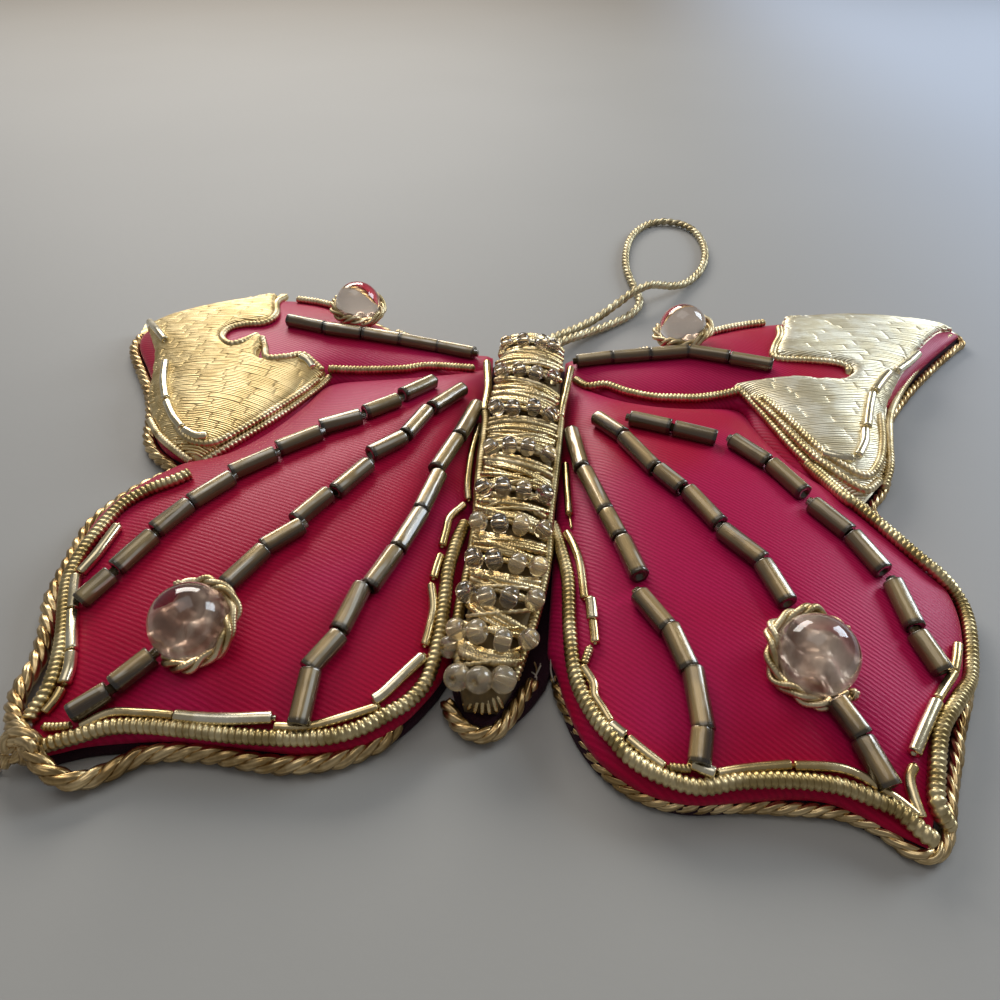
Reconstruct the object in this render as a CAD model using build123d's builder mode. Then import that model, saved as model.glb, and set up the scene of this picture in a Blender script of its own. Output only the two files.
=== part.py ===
from build123d import *
import math
import os

os.makedirs("parts", exist_ok=True)

# A padded butterfly ornament of satin on card, hand embroidered with bugle
# beads, glass beads, seed beads and gold purl, and hung by a loop of cord.
# It lies on its velvet back. +Y runs from the tail to the head, +Z is up.

# Driving sizes, in millimetres
wing_span = 150.0
panel_length = 100.0
body_offset = 3.5
waist_offset = 4.8
backing_thickness = 0.8
card_thickness = 0.6
card_margin = 0.5
cover_thickness = 0.35
padding_gap = 0.12
hind_crown = 6.1
fore_crown = 4.7
hind_tilt_rise = 5.5
hind_lean_rise = 5.0
fore_tilt_fall = 3.5
seat_gap = 0.12
cord_gap = 0.2
front_purl_gap = 0.4
edge_cord_gap = 0.6
crossing_gap = 0.75
thick_purl_radius = 0.62
border_purl_radius = 0.5
thin_purl_radius = 0.42
band_strand_radius = 0.27
edge_cord_radius = 0.85
loop_cord_radius = 0.8
bugle_radius = 1.0
bugle_bore_radius = 0.45
seed_radius = 0.95
seed_length = 1.3
seed_bore_radius = 0.3
seed_round = 0.3
gem_radius = 4.4
fore_gem_radius = 4.2
setting_radius = 0.45
right_fore_gem_reach = 6.6
left_fore_gem_reach = 8.2
patch_thickness = 1.5
stitch_radius = 1.9
stitch_length = 1.3
stitch_height = 3.6
stitch_offset = 0.1
tail_bead_radius = 1.3
tail_bore_radius = 0.5
tail_bead_gap = 0.3
fan_top_reach = 2.85
fan_foot_reach = 3.15
fan_height = 0.75
arc_share = 0.45

body_width_share = 0.06
body_height_share = 0.889
body_width = wing_span * body_width_share
body_height = body_width * body_height_share
card_base = backing_thickness
card_top = backing_thickness + card_thickness
body_line = -body_offset
waist_line = -waist_offset
right = 1
left = -1

# Outlines of the seam, as shares of wing_span outward from the body's line
# and of panel_length towards the head, listed from the tail round the wing.
right_hem_shares = [
    (0.038, -0.285), (0.042, -0.312), (0.053, -0.346), (0.068, -0.380), (0.087, -0.406),
    (0.112, -0.418), (0.137, -0.420), (0.167, -0.414), (0.197, -0.412), (0.227, -0.420),
    (0.249, -0.438), (0.263, -0.449), (0.273, -0.458),
]
right_rim_shares = [
    (0.273, -0.458), (0.281, -0.425), (0.293, -0.384), (0.311, -0.330), (0.332, -0.274),
    (0.346, -0.224), (0.351, -0.170), (0.345, -0.116), (0.333, -0.070), (0.320, -0.024),
    (0.309, 0.022),
]
right_division_shares = [
    (0.309, 0.022), (0.275, 0.046), (0.249, 0.106), (0.233, 0.170), (0.222, 0.234),
    (0.180, 0.219), (0.133, 0.213), (0.085, 0.240), (0.044, 0.290),
]
right_fore_rim_shares = [
    (0.309, 0.022), (0.337, 0.078), (0.353, 0.140), (0.366, 0.205), (0.391, 0.258),
    (0.437, 0.335), (0.476, 0.405), (0.502, 0.460), (0.516, 0.506),
]
right_front_shares = [
    (0.516, 0.506), (0.491, 0.536), (0.457, 0.550), (0.384, 0.552), (0.304, 0.518),
    (0.225, 0.478), (0.156, 0.405), (0.103, 0.369), (0.044, 0.345),
]
left_hem_shares = [
    (0.029, -0.295), (0.034, -0.330), (0.047, -0.362), (0.068, -0.388), (0.096, -0.406),
    (0.128, -0.415), (0.167, -0.415), (0.201, -0.413), (0.233, -0.415), (0.257, -0.422),
    (0.276, -0.432), (0.292, -0.442), (0.307, -0.452),
]
left_rim_shares = [
    (0.307, -0.452), (0.313, -0.404), (0.323, -0.356), (0.333, -0.304), (0.347, -0.246),
    (0.357, -0.184), (0.361, -0.128), (0.356, -0.076), (0.341, -0.030), (0.326, 0.004),
    (0.311, 0.034),
]
left_division_shares = [
    (0.311, 0.034), (0.277, 0.042), (0.248, 0.098), (0.227, 0.170), (0.211, 0.248),
    (0.163, 0.254), (0.109, 0.270), (0.077, 0.284), (0.040, 0.308),
]
left_fore_rim_shares = [
    (0.311, 0.034), (0.341, 0.060), (0.365, 0.102), (0.381, 0.164), (0.401, 0.224),
    (0.425, 0.280), (0.446, 0.325), (0.460, 0.360), (0.469, 0.400),
]
left_front_shares = [
    (0.469, 0.400), (0.449, 0.446), (0.404, 0.492), (0.331, 0.536), (0.273, 0.530),
    (0.224, 0.496), (0.160, 0.425), (0.103, 0.374), (0.042, 0.350),
]
tail_lobe_shares = [
    (0.038, -0.285), (0.023, -0.325), (0.003, -0.351), (-0.0185, -0.332), (-0.029, -0.295),
]
head_edge_shares = [(-0.042, 0.350), (0.0, 0.365), (0.044, 0.345)]
body_spine_shares = [(0.0, -0.30), (0.0, 0.30)]

# Each pad rises towards a spine inside its outline: (height, inset) shares.
hind_level_shares = [
    (0.0, 0.022), (0.15, 0.010), (0.36, 0.050), (0.58, 0.150), (0.77, 0.310),
    (0.91, 0.530), (1.0, 0.800),
]
fore_level_shares = [
    (0.0, 0.030), (0.17, 0.014), (0.42, 0.070), (0.66, 0.200), (0.84, 0.380),
    (0.95, 0.600), (1.0, 0.820),
]
right_hind_spine_shares = [(0.100, 0.125), (0.180, -0.220)]
left_hind_spine_shares = [(0.095, 0.130), (0.185, -0.220)]
right_fore_spine_shares = [(0.120, 0.300), (0.370, 0.370)]
left_fore_spine_shares = [(0.110, 0.345), (0.340, 0.330)]

# Gold purl laid on the satin inside the seam
right_hem_purl_shares = [
    (0.047, -0.085), (0.054, -0.178), (0.056, -0.250), (0.061, -0.312), (0.074, -0.358),
    (0.092, -0.388), (0.115, -0.402), (0.139, -0.404), (0.167, -0.399), (0.196, -0.397),
    (0.222, -0.403), (0.242, -0.417), (0.256, -0.431),
]
right_rim_purl_shares = [
    (0.266, -0.430), (0.273, -0.402), (0.283, -0.366), (0.300, -0.318), (0.319, -0.272),
    (0.332, -0.224), (0.337, -0.172), (0.332, -0.120), (0.320, -0.074), (0.304, -0.034),
    (0.290, 0.010),
]
left_hem_purl_shares = [
    (0.043, -0.084), (0.045, -0.152), (0.044, -0.226), (0.043, -0.286), (0.050, -0.328),
    (0.066, -0.360), (0.089, -0.384), (0.124, -0.399), (0.165, -0.401), (0.207, -0.398),
    (0.243, -0.404), (0.258, -0.410), (0.271, -0.419),
]
left_rim_purl_shares = [
    (0.300, -0.386), (0.302, -0.356), (0.306, -0.322), (0.316, -0.284), (0.332, -0.234),
    (0.342, -0.182), (0.339, -0.130), (0.328, -0.084), (0.311, -0.042), (0.296, 0.002),
]
right_front_purl_shares = [
    [(0.062, 0.332), (0.080, 0.341), (0.099, 0.351), (0.118, 0.361), (0.136, 0.372)],
    [(0.208, 0.440), (0.244, 0.466), (0.276, 0.484)],
]
left_front_purl_shares = [
    [(0.062, 0.341), (0.086, 0.352), (0.110, 0.365), (0.134, 0.381), (0.158, 0.399)],
    [(0.234, 0.472), (0.262, 0.494), (0.296, 0.506)],
]

# Short smooth purl lengths beside the thick purl, each as three places
right_thin_purl_shares = [
    [(0.055, -0.090), (0.060, -0.130), (0.064, -0.170)],
    [(0.066, -0.184), (0.068, -0.200), (0.069, -0.216)],
    [(0.067, -0.226), (0.069, -0.250), (0.072, -0.272)],
    [(0.075, -0.284), (0.082, -0.322), (0.098, -0.358)],
    [(0.110, -0.374), (0.140, -0.386), (0.170, -0.384)],
    [(0.178, -0.382), (0.214, -0.386), (0.244, -0.404)],
    [(0.262, -0.398), (0.268, -0.378), (0.276, -0.356)],
    [(0.280, -0.344), (0.294, -0.308), (0.308, -0.276)],
    [(0.312, -0.262), (0.317, -0.240), (0.320, -0.216)],
]
left_thin_purl_shares = [
    [(0.053, -0.160), (0.054, -0.195), (0.055, -0.230)],
    [(0.056, -0.244), (0.058, -0.270), (0.061, -0.296)],
    [(0.068, -0.324), (0.080, -0.348), (0.098, -0.366)],
    [(0.126, -0.382), (0.164, -0.386), (0.204, -0.384)],
    [(0.210, -0.380), (0.238, -0.385), (0.262, -0.398)],
    [(0.288, -0.368), (0.291, -0.340), (0.298, -0.312)],
    [(0.304, -0.296), (0.314, -0.262), (0.324, -0.228)],
    [(0.328, -0.186), (0.327, -0.156), (0.322, -0.126)],
    [(0.316, -0.106), (0.306, -0.080), (0.294, -0.056)],
]

# Bugle beads, each from its first end to its last
right_inner_bugle_shares = [
    ((0.052, 0.080), (0.061, 0.012)), ((0.063, 0.004), (0.077, -0.064)),
    ((0.079, -0.072), (0.089, -0.120)), ((0.091, -0.128), (0.102, -0.184)),
    ((0.103, -0.204), (0.119, -0.256)), ((0.121, -0.262), (0.131, -0.308)),
    ((0.133, -0.316), (0.136, -0.364)),
]
right_middle_bugle_shares = [
    ((0.076, 0.104), (0.096, 0.058)), ((0.098, 0.051), (0.120, -0.006)),
    ((0.123, -0.013), (0.141, -0.046)), ((0.146, -0.053), (0.167, -0.102)),
    ((0.169, -0.110), (0.193, -0.154)), ((0.196, -0.161), (0.205, -0.213)),
    ((0.227, -0.346), (0.238, -0.374)),
]
right_outer_bugle_shares = [
    ((0.103, 0.092), (0.138, 0.081)), ((0.142, 0.080), (0.178, 0.070)),
    ((0.192, 0.072), (0.220, 0.035)), ((0.224, 0.029), (0.243, -0.023)),
    ((0.247, -0.040), (0.269, -0.087)), ((0.272, -0.094), (0.286, -0.147)),
    ((0.290, -0.163), (0.293, -0.222)), ((0.293, -0.232), (0.302, -0.271)),
]
left_inner_bugle_shares = [
    ((0.050, 0.133), (0.057, 0.065)), ((0.058, 0.057), (0.067, -0.016)),
    ((0.067, -0.026), (0.073, -0.094)), ((0.073, -0.102), (0.083, -0.164)),
    ((0.084, -0.172), (0.096, -0.226)), ((0.101, -0.232), (0.108, -0.286)),
    ((0.109, -0.294), (0.120, -0.334)),
]
left_middle_bugle_shares = [
    ((0.064, 0.156), (0.083, 0.100)), ((0.087, 0.092), (0.100, 0.036)),
    ((0.102, 0.028), (0.124, -0.012)), ((0.125, -0.030), (0.143, -0.080)),
    ((0.148, -0.086), (0.165, -0.135)), ((0.163, -0.145), (0.183, -0.180)),
    ((0.184, -0.187), (0.199, -0.237)), ((0.238, -0.344), (0.252, -0.374)),
]
left_outer_bugle_shares = [
    ((0.086, 0.156), (0.111, 0.122)), ((0.115, 0.110), (0.143, 0.081)),
    ((0.147, 0.073), (0.178, 0.050)), ((0.179, 0.039), (0.210, 0.005)),
    ((0.212, -0.006), (0.238, -0.046)), ((0.240, -0.056), (0.261, -0.101)),
    ((0.263, -0.109), (0.278, -0.152)), ((0.279, -0.161), (0.293, -0.211)),
    ((0.295, -0.220), (0.306, -0.256)),
]
right_fore_bugle_shares = [
    ((0.074, 0.280), (0.108, 0.300)), ((0.112, 0.302), (0.149, 0.315)),
    ((0.155, 0.317), (0.194, 0.310)), ((0.198, 0.308), (0.234, 0.292)),
]
left_fore_bugle_shares = [
    ((0.078, 0.311), (0.109, 0.319)), ((0.113, 0.320), (0.149, 0.329)),
    ((0.153, 0.330), (0.189, 0.337)), ((0.193, 0.338), (0.229, 0.344)),
]

# Glass beads in their gold settings
right_hind_gem_share = (0.212, -0.285)
left_hind_gem_share = (0.210, -0.294)
right_fore_gem_foot_share = (0.176, 0.314)
left_fore_gem_foot_share = (0.208, 0.340)

# Basket-woven gold patches on the forewing tips, with a slit of bare satin
right_patch_shares = [
    (0.292, 0.496), (0.286, 0.430), (0.270, 0.340), (0.236, 0.288), (0.226, 0.232),
    (0.236, 0.180), (0.254, 0.108), (0.281, 0.052), (0.310, 0.036), (0.334, 0.086),
    (0.346, 0.140), (0.358, 0.210), (0.380, 0.262), (0.424, 0.338), (0.468, 0.424),
    (0.490, 0.494), (0.452, 0.532), (0.384, 0.534),
]
right_slit_shares = [
    (0.230, 0.352), (0.267, 0.341), (0.300, 0.332), (0.335, 0.310), (0.300, 0.302),
    (0.250, 0.302),
]
left_patch_shares = [
    (0.312, 0.514), (0.306, 0.450), (0.298, 0.392), (0.270, 0.300), (0.214, 0.258),
    (0.228, 0.186), (0.250, 0.106), (0.280, 0.056), (0.312, 0.048), (0.338, 0.078),
    (0.356, 0.112), (0.370, 0.170), (0.388, 0.230), (0.416, 0.292), (0.440, 0.350),
    (0.448, 0.400), (0.430, 0.446), (0.384, 0.486),
]
left_slit_shares = [
    (0.280, 0.396), (0.300, 0.392), (0.325, 0.376), (0.347, 0.345), (0.320, 0.338),
    (0.275, 0.342),
]
right_patch_border_shares = [
    (0.240, 0.274), (0.235, 0.228), (0.244, 0.182), (0.262, 0.118), (0.286, 0.070),
    (0.308, 0.060), (0.326, 0.096), (0.337, 0.146), (0.350, 0.212), (0.373, 0.272),
    (0.414, 0.344), (0.454, 0.422), (0.474, 0.480),
]
left_patch_border_shares = [
    (0.236, 0.258), (0.236, 0.214), (0.246, 0.162), (0.262, 0.112), (0.286, 0.076),
    (0.310, 0.070), (0.330, 0.092), (0.346, 0.124), (0.360, 0.178), (0.379, 0.238),
    (0.405, 0.298), (0.427, 0.350), (0.434, 0.398),
]
right_accent_shares = [
    (0.398, 0.352), (0.366, 0.300), (0.344, 0.252), (0.332, 0.200), (0.322, 0.148),
    (0.304, 0.116), (0.280, 0.124),
]
left_accent_shares = [
    (0.402, 0.366), (0.388, 0.318), (0.366, 0.262), (0.348, 0.204), (0.334, 0.150),
    (0.314, 0.116), (0.288, 0.116),
]

# Body: place along the length, then shares of its half width and height
body_station_shares = [
    (-0.338, 0.36, 0.20), (-0.318, 0.55, 0.34), (-0.275, 0.76, 0.53), (-0.200, 0.88, 0.65),
    (-0.080, 0.93, 0.77), (0.040, 0.96, 0.88), (0.160, 1.00, 0.97), (0.250, 1.06, 1.0),
    (0.305, 1.00, 0.90), (0.340, 0.70, 0.62),
]
body_sway_shares = [
    (-0.338, -0.006), (-0.280, -0.002), (-0.200, 0.003), (0.340, 0.005),
]
tail_row_share = -0.327
bead_row_shares = [-0.286, -0.244, -0.197, -0.134, -0.074, 0.002, 0.100, 0.176, 0.265]
bead_row_counts = [5, 5, 5, 5, 5, 5, 5, 5, 4]
band_counts = [3, 3, 4, 6, 6, 9, 12, 8, 10]
head_wrap_shares = [0.284, 0.292, 0.300, 0.308, 0.316, 0.324, 0.332]
tail_bead_degrees = [-52.0, 0.0, 52.0]
fan_degrees = [-72.0, -54.0, -36.0, -18.0, 0.0, 18.0, 36.0, 54.0, 72.0]
fan_share = -0.318
bead_span_degrees = 112.0
band_span_degrees = 126.0
border_height_share = 0.42
border_start_share = -0.300
division_purl_height_shares = [0.86, 0.80, 0.74, 0.70, 0.68]
arch_rise_share = 0.92

# Loose gold cord at the left tip: outward, along, and height shares
left_loose_cord_shares = [
    (0.250, -0.434, 0.165), (0.266, -0.448, 0.30), (0.282, -0.452, 0.50),
    (0.322, -0.408, 0.56), (0.331, -0.378, 0.30), (0.336, -0.346, 0.165),
]
left_crossing_shares = [(0.292, -0.434), (0.304, -0.420)]
cord_start_index = 2
loose_hem_index = 8
loose_rim_index = 3

# Route of the hanging loop, from the head, round its eye and back
loop_route = [
    (-1.3, 31.4, 3.6), (0.6, 35.0, 3.4), (3.5, 39.2, 2.6), (7.2, 44.0, 1.4), (11.2, 48.4, 0.9),
    (15.2, 52.6, 0.9), (17.4, 58.2, 0.9), (16.0, 65.8, 0.9), (14.8, 74.2, 0.9),
    (15.2, 83.4, 0.9), (16.6, 91.6, 0.9), (19.4, 98.2, 0.9), (23.0, 102.2, 0.9),
    (28.0, 102.2, 0.9), (31.4, 98.4, 0.9), (32.9, 91.8, 0.9), (32.9, 83.4, 0.9), (31.0, 74.6, 0.9),
    (27.0, 67.2, 0.9), (22.6, 62.6, 2.4), (19.4, 60.2, 4.0), (15.8, 57.0, 4.0),
    (12.0, 53.2, 2.6), (8.2, 49.2, 1.4), (4.4, 44.6, 1.6), (1.0, 39.8, 2.6),
    (-1.8, 35.2, 3.4), (-3.1, 31.4, 3.6),
]

# Finer sizes worked out from shares of the driving ones
inner_inset_share = 0.025
padding_inset_share = 0.036
grown_inset_share = 0.004
raised_inset_share = 0.030
gem_sink_share = 0.5
seam_step_share = 1.3
tip_turn_degrees = 70.0


def place(side, shares):
    """Plan point on one side of the body, from shares outward and along."""
    return Vector(
        body_line + side * wing_span * shares[0],
        waist_line + panel_length * shares[1],
        0,
    )


def places(side, table):
    """Plan points of a whole table of shares."""
    return [place(side, shares) for shares in table]


def nearest_on(spine, point):
    """Nearest point of a pad's spine to a plan point."""
    start, end = spine
    along = end - start
    reach = (point - start).dot(along) / along.dot(along)
    return start + along * max(0, min(1, reach))


def draw_arcs(row):
    """Draw arcs through the points of a row, two runs to an arc."""
    for first, middle, last in zip(row[::2], row[1::2], row[2::2]):
        ThreePointArc(first, middle, last)


def draw_level(sections, spine, inset_share, pivot):
    """Draw a pad's outline, drawn in towards its spine, about a pivot."""
    rows = [
        [point + (nearest_on(spine, point) - point) * inset_share - pivot for point in section]
        for section in sections
    ]
    for row in rows:
        draw_arcs(row)
    Line(rows[-1][-1], rows[0][0])


def add_pad(pad, lift=0, inset_change=0, mode=Mode.ADD):
    """Loft a pad through its levels, each tilted a little more than the last."""
    pivot = (pad["spine"][0] + pad["spine"][1]) / 2
    levels = []
    for height_share, inset_share in pad["levels"]:
        rise = pad["crown"] * height_share + (lift if height_share else 0)
        slope_x = pad["slope_x"] * height_share
        slope_y = pad["slope_y"] * height_share
        level = Plane(
            origin=(pivot.X, pivot.Y, card_top + rise),
            x_dir=(1, 0, slope_x),
            z_dir=(-slope_x, -slope_y, 1),
        )
        with BuildSketch(level) as outline:
            with BuildLine():
                draw_level(pad["sections"], pad["spine"], inset_share + inset_change, pivot)
            make_face()
        levels.append(outline.sketch.face())
    loft(levels, ruled=True, mode=mode)


def seat(cover, point, lift):
    """Point at a lift along the surface's normal above a plan point, and the normal."""
    hits = cover.find_intersection_points(Axis((point.X, point.Y, 0), (0, 0, 1)))
    surface, normal = max(hits, key=lambda hit: hit[0].Z)
    normal = normal if normal.Z > 0 else -normal
    return surface + normal * lift, normal


def seated(cover, side, table, lift):
    """Route above a cover through the places of a table."""
    return [seat(cover, point, lift)[0] for point in places(side, table)]


def corner_radii(route):
    """Radius of each corner's arc, as large as its two runs allow."""
    radii = []
    for before, corner, after in zip(route, route[1:], route[2:]):
        shorter_run = min((corner - before).length, (after - corner).length)
        turn = math.radians((corner - before).get_angle(after - corner))
        radii.append(arc_share * shorter_run / math.tan(turn / 2))
    return radii


def add_tube(route, radius):
    """Sweep a round tube along straight runs joined by tangent arcs."""
    route = [Vector(*point) if isinstance(point, tuple) else point for point in route]
    with BuildLine() as path:
        FilletPolyline(*route, radius=corner_radii(route))
    with BuildSketch(Plane(origin=path.line @ 0, z_dir=path.line % 0)) as section:
        Circle(radius)
    sweep(section.sketch, path=path.line)


def add_strand(start, end, radius):
    """Add one straight round length."""
    with BuildSketch(Plane(origin=start, z_dir=end - start)) as section:
        Circle(radius)
    extrude(section.sketch, amount=(end - start).length)


def add_bugle(cover, start, end):
    """Add one bugle bead along the surface, clear of its bulge."""
    lift = bugle_radius + seat_gap
    first = seat(cover, start, lift)[0]
    last = seat(cover, end, lift)[0]
    middle = seat(cover, (start + end) / 2, lift)[0]
    shortage = max(0, middle.Z - (first.Z + last.Z) / 2)
    first += Vector(0, 0, shortage)
    last += Vector(0, 0, shortage)
    with BuildSketch(Plane(origin=first, z_dir=last - first)) as section:
        Circle(bugle_radius)
        Circle(bugle_bore_radius, mode=Mode.SUBTRACT)
    extrude(section.sketch, amount=(last - first).length)


def outset(route, side, distance):
    """Plan route moved outward from the seam, with each sharp tip rounded."""
    moved = []
    for index, point in enumerate(route):
        before = route[max(index - 1, 0)]
        after = route[min(index + 1, len(route) - 1)]
        entering = (point - before) if index else (after - point)
        leaving = (after - point) if index < len(route) - 1 else (point - before)
        normals = [
            Vector(side * run.Y, -side * run.X, 0).normalized() for run in (entering, leaving)
        ]
        turn = entering.cross(leaving).Z * side
        sharp = entering.get_angle(leaving) > tip_turn_degrees and turn > 0
        if sharp:
            moved += [point + normal * distance * seam_step_share for normal in normals]
        else:
            moved.append(point + (normals[0] + normals[1]).normalized() * distance)
    return moved


def body_profile(y_share):
    """Middle, half width and height of the body at a share of the length."""
    y_stations = [station[0] for station in body_station_shares]
    width = interpolate(y_stations, [station[1] for station in body_station_shares], y_share)
    height = interpolate(y_stations, [station[2] for station in body_station_shares], y_share)
    sway = interpolate(
        [station[0] for station in body_sway_shares],
        [station[1] for station in body_sway_shares],
        y_share,
    )
    middle = Vector(
        body_line + wing_span * sway, waist_line + panel_length * y_share, card_top
    )
    return middle, body_width / 2 * width, body_height * height


def interpolate(stations, values, at):
    """Value at a place, on straight lines between stations."""
    for first, last, low, high in zip(stations, stations[1:], values, values[1:]):
        if at <= last:
            return low + (high - low) * (at - first) / (last - first)
    return values[-1]


def arch(y_share):
    """Middle of the body's top arch, and its radius."""
    middle, half_width, height = body_profile(y_share)
    rise = half_width * arch_rise_share
    radius = (half_width**2 + rise**2) / (2 * rise)
    return middle + Vector(0, 0, height - radius), radius


def arch_point(y_share, degrees, lift):
    """Point over the body at an angle from its top, lifted off its skin."""
    middle, radius = arch(y_share)
    angle = math.radians(degrees)
    return middle + Vector(math.sin(angle), 0, math.cos(angle)) * (radius + lift)


# Seam outlines of both sides
sides = {"right": right, "left": left}
hem = {"right": places(right, right_hem_shares), "left": places(left, left_hem_shares)}
rim = {"right": places(right, right_rim_shares), "left": places(left, left_rim_shares)}
division = {
    "right": places(right, right_division_shares),
    "left": places(left, left_division_shares),
}
fore_rim = {
    "right": places(right, right_fore_rim_shares),
    "left": places(left, left_fore_rim_shares),
}
front = {"right": places(right, right_front_shares), "left": places(left, left_front_shares)}
hind_spine = {
    "right": places(right, right_hind_spine_shares),
    "left": places(left, left_hind_spine_shares),
}
fore_spine = {
    "right": places(right, right_fore_spine_shares),
    "left": places(left, left_fore_spine_shares),
}


body_spine = places(right, body_spine_shares)


def drawn_in(point, margin):
    """Plan point moved by a margin towards the nearest spine."""
    spines = [*hind_spine.values(), *fore_spine.values(), body_spine]
    target = min((nearest_on(spine, point) for spine in spines), key=lambda to: (to - point).length)
    return point + (target - point).normalized() * margin


def draw_panel(margin=0):
    """Draw the whole butterfly's seam outline, drawn in by a margin."""
    tail = places(right, tail_lobe_shares)
    head = places(right, head_edge_shares)
    sections = [section[name] for section in (hem, rim, fore_rim, front) for name in sides]
    for section in sections + [tail, head]:
        row = [drawn_in(point, margin) for point in section]
        draw_arcs(row)


def finish(piece):
    """Write a finished piece under its label."""
    export_step(piece, f"parts/{piece.label}.step")
    print(piece.label, len(piece.solids()), round(piece.volume, 2))


hem_and_rim_purls = {
    "right": {"hem": right_hem_purl_shares, "rim": right_rim_purl_shares},
    "left": {"hem": left_hem_purl_shares, "rim": left_rim_purl_shares},
}
thin_purls = {"right": right_thin_purl_shares, "left": left_thin_purl_shares}
bugle_rays = {
    "right": {
        ("hind", "inner"): right_inner_bugle_shares,
        ("hind", "middle"): right_middle_bugle_shares,
        ("hind", "outer"): right_outer_bugle_shares,
        ("fore", "front"): right_fore_bugle_shares,
    },
    "left": {
        ("hind", "inner"): left_inner_bugle_shares,
        ("hind", "middle"): left_middle_bugle_shares,
        ("hind", "outer"): left_outer_bugle_shares,
        ("fore", "front"): left_fore_bugle_shares,
    },
}


def add_arch_strand(y_share, radius, half_span):
    """Add one round strand over the body's arch."""
    lift = radius + seat_gap
    with BuildLine() as strand:
        ThreePointArc(
            arch_point(y_share, -half_span, lift),
            arch_point(y_share, 0, lift),
            arch_point(y_share, half_span, lift),
        )
    with BuildSketch(Plane(origin=strand.line @ 0, z_dir=strand.line % 0)) as section:
        Circle(radius)
    sweep(section.sketch, path=strand.line)


def band_rows():
    """Places of the strands that fill the spaces between the rows of beads."""
    rows = []
    margin = (seed_radius + band_strand_radius + seat_gap) / panel_length
    for behind, ahead, count in zip(bead_row_shares, bead_row_shares[1:], band_counts[1:]):
        rows += spread(behind + margin, ahead - margin, count)
    tail_margin = (tail_bead_radius + band_strand_radius + seat_gap) / panel_length
    return spread(tail_row_share + tail_margin, bead_row_shares[0] - margin, band_counts[0]) + rows


def spread(first, last, count):
    """Evenly spaced values from first to last."""
    return [first + (last - first) * index / (count - 1) for index in range(count)]


division_purls = {"right": right_division_shares[:3:-1], "left": left_division_shares[:3:-1]}
front_purls = {"right": right_front_purl_shares, "left": left_front_purl_shares}
patches = {
    "right": {
        "outline": right_patch_shares,
        "slit": right_slit_shares,
        "border": right_patch_border_shares,
        "accent": right_accent_shares,
    },
    "left": {
        "outline": left_patch_shares,
        "slit": left_slit_shares,
        "border": left_patch_border_shares,
        "accent": left_accent_shares,
    },
}
gems = {
    "right": {
        "hind": (right_hind_gem_share, 0, gem_radius),
        "fore": (right_fore_gem_foot_share, right_fore_gem_reach, fore_gem_radius),
    },
    "left": {
        "hind": (left_hind_gem_share, 0, gem_radius),
        "fore": (left_fore_gem_foot_share, left_fore_gem_reach, fore_gem_radius),
    },
}

# Velvet back, and the card that stiffens the whole butterfly
with BuildPart() as back_panel:
    with BuildSketch():
        with BuildLine():
            draw_panel()
        make_face()
    extrude(amount=backing_thickness)
back_panel.part.label = "back_panel"
finish(back_panel.part)

with BuildPart() as stiffener_card:
    with BuildSketch(Plane.XY.offset(card_base)):
        with BuildLine():
            draw_panel(card_margin)
        make_face()
    extrude(amount=card_thickness)
stiffener_card.part.label = "stiffener_card"
finish(stiffener_card.part)

# Puffed satin covers over wadding, one over each wing
pads = {}
for name, side in sides.items():
    pads["hind_" + name] = {
        "sections": [hem[name], rim[name], division[name]],
        "spine": hind_spine[name],
        "levels": hind_level_shares,
        "crown": hind_crown,
        "slope_x": -side * hind_lean_rise / wing_span,
        "slope_y": hind_tilt_rise / panel_length,
    }
    pads["fore_" + name] = {
        "sections": [division[name][::-1], fore_rim[name], front[name]],
        "spine": fore_spine[name],
        "levels": fore_level_shares,
        "crown": fore_crown,
        "slope_x": -side * fore_tilt_fall / wing_span,
        "slope_y": 0,
    }

covers = {}
for name, pad in pads.items():
    with BuildPart() as cover:
        add_pad(pad)
        add_pad(pad, -cover_thickness, inner_inset_share, Mode.SUBTRACT)
    cover.part.label = name + "_satin"
    covers[name] = cover.part

    with BuildPart() as padding:
        add_pad(pad, -cover_thickness - padding_gap, padding_inset_share)
    padding.part.label = name + "_padding"
    finish(padding.part)
    finish(cover.part)

# Thick ribbed purl round each hindwing, meeting at its tip
for name, side in sides.items():
    cover = covers["hind_" + name]
    lift = thick_purl_radius + cord_gap
    for edge, table in hem_and_rim_purls[name].items():
        with BuildPart() as purl:
            add_tube(seated(cover, side, table, lift), thick_purl_radius)
        purl.part.label = f"{edge}_purl_{name}"
        finish(purl.part)

    with BuildPart() as thin_purl:
        for table in thin_purls[name]:
            lift = thin_purl_radius + seat_gap
            add_tube(seated(cover, side, table, lift), thin_purl_radius)
    thin_purl.part.label = "thin_purls_" + name
    finish(thin_purl.part)

# Bugle beads in rays over each wing
for name, side in sides.items():
    for (wing, ray), table in bugle_rays[name].items():
        with BuildPart() as bugles:
            for start, end in table:
                add_bugle(covers[wing + "_" + name], place(side, start), place(side, end))
        bugles.part.label = f"{wing}_{ray}_bugles_{name}"
        finish(bugles.part)

# Purl in the valley between hindwing and forewing, and along the front edge
for name, side in sides.items():
    with BuildPart() as division_purl:
        valley = [
            point + Vector(0, 0, card_top + hind_crown * height_share)
            for point, height_share in zip(
                places(side, division_purls[name]), division_purl_height_shares
            )
        ]
        add_tube(valley, thick_purl_radius)
    division_purl.part.label = "division_purl_" + name
    finish(division_purl.part)

    with BuildPart() as front_purl:
        lift = thick_purl_radius + front_purl_gap
        for table in front_purls[name]:
            add_tube(seated(covers["fore_" + name], side, table, lift), thick_purl_radius)
    front_purl.part.label = "front_purl_" + name
    finish(front_purl.part)

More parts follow.
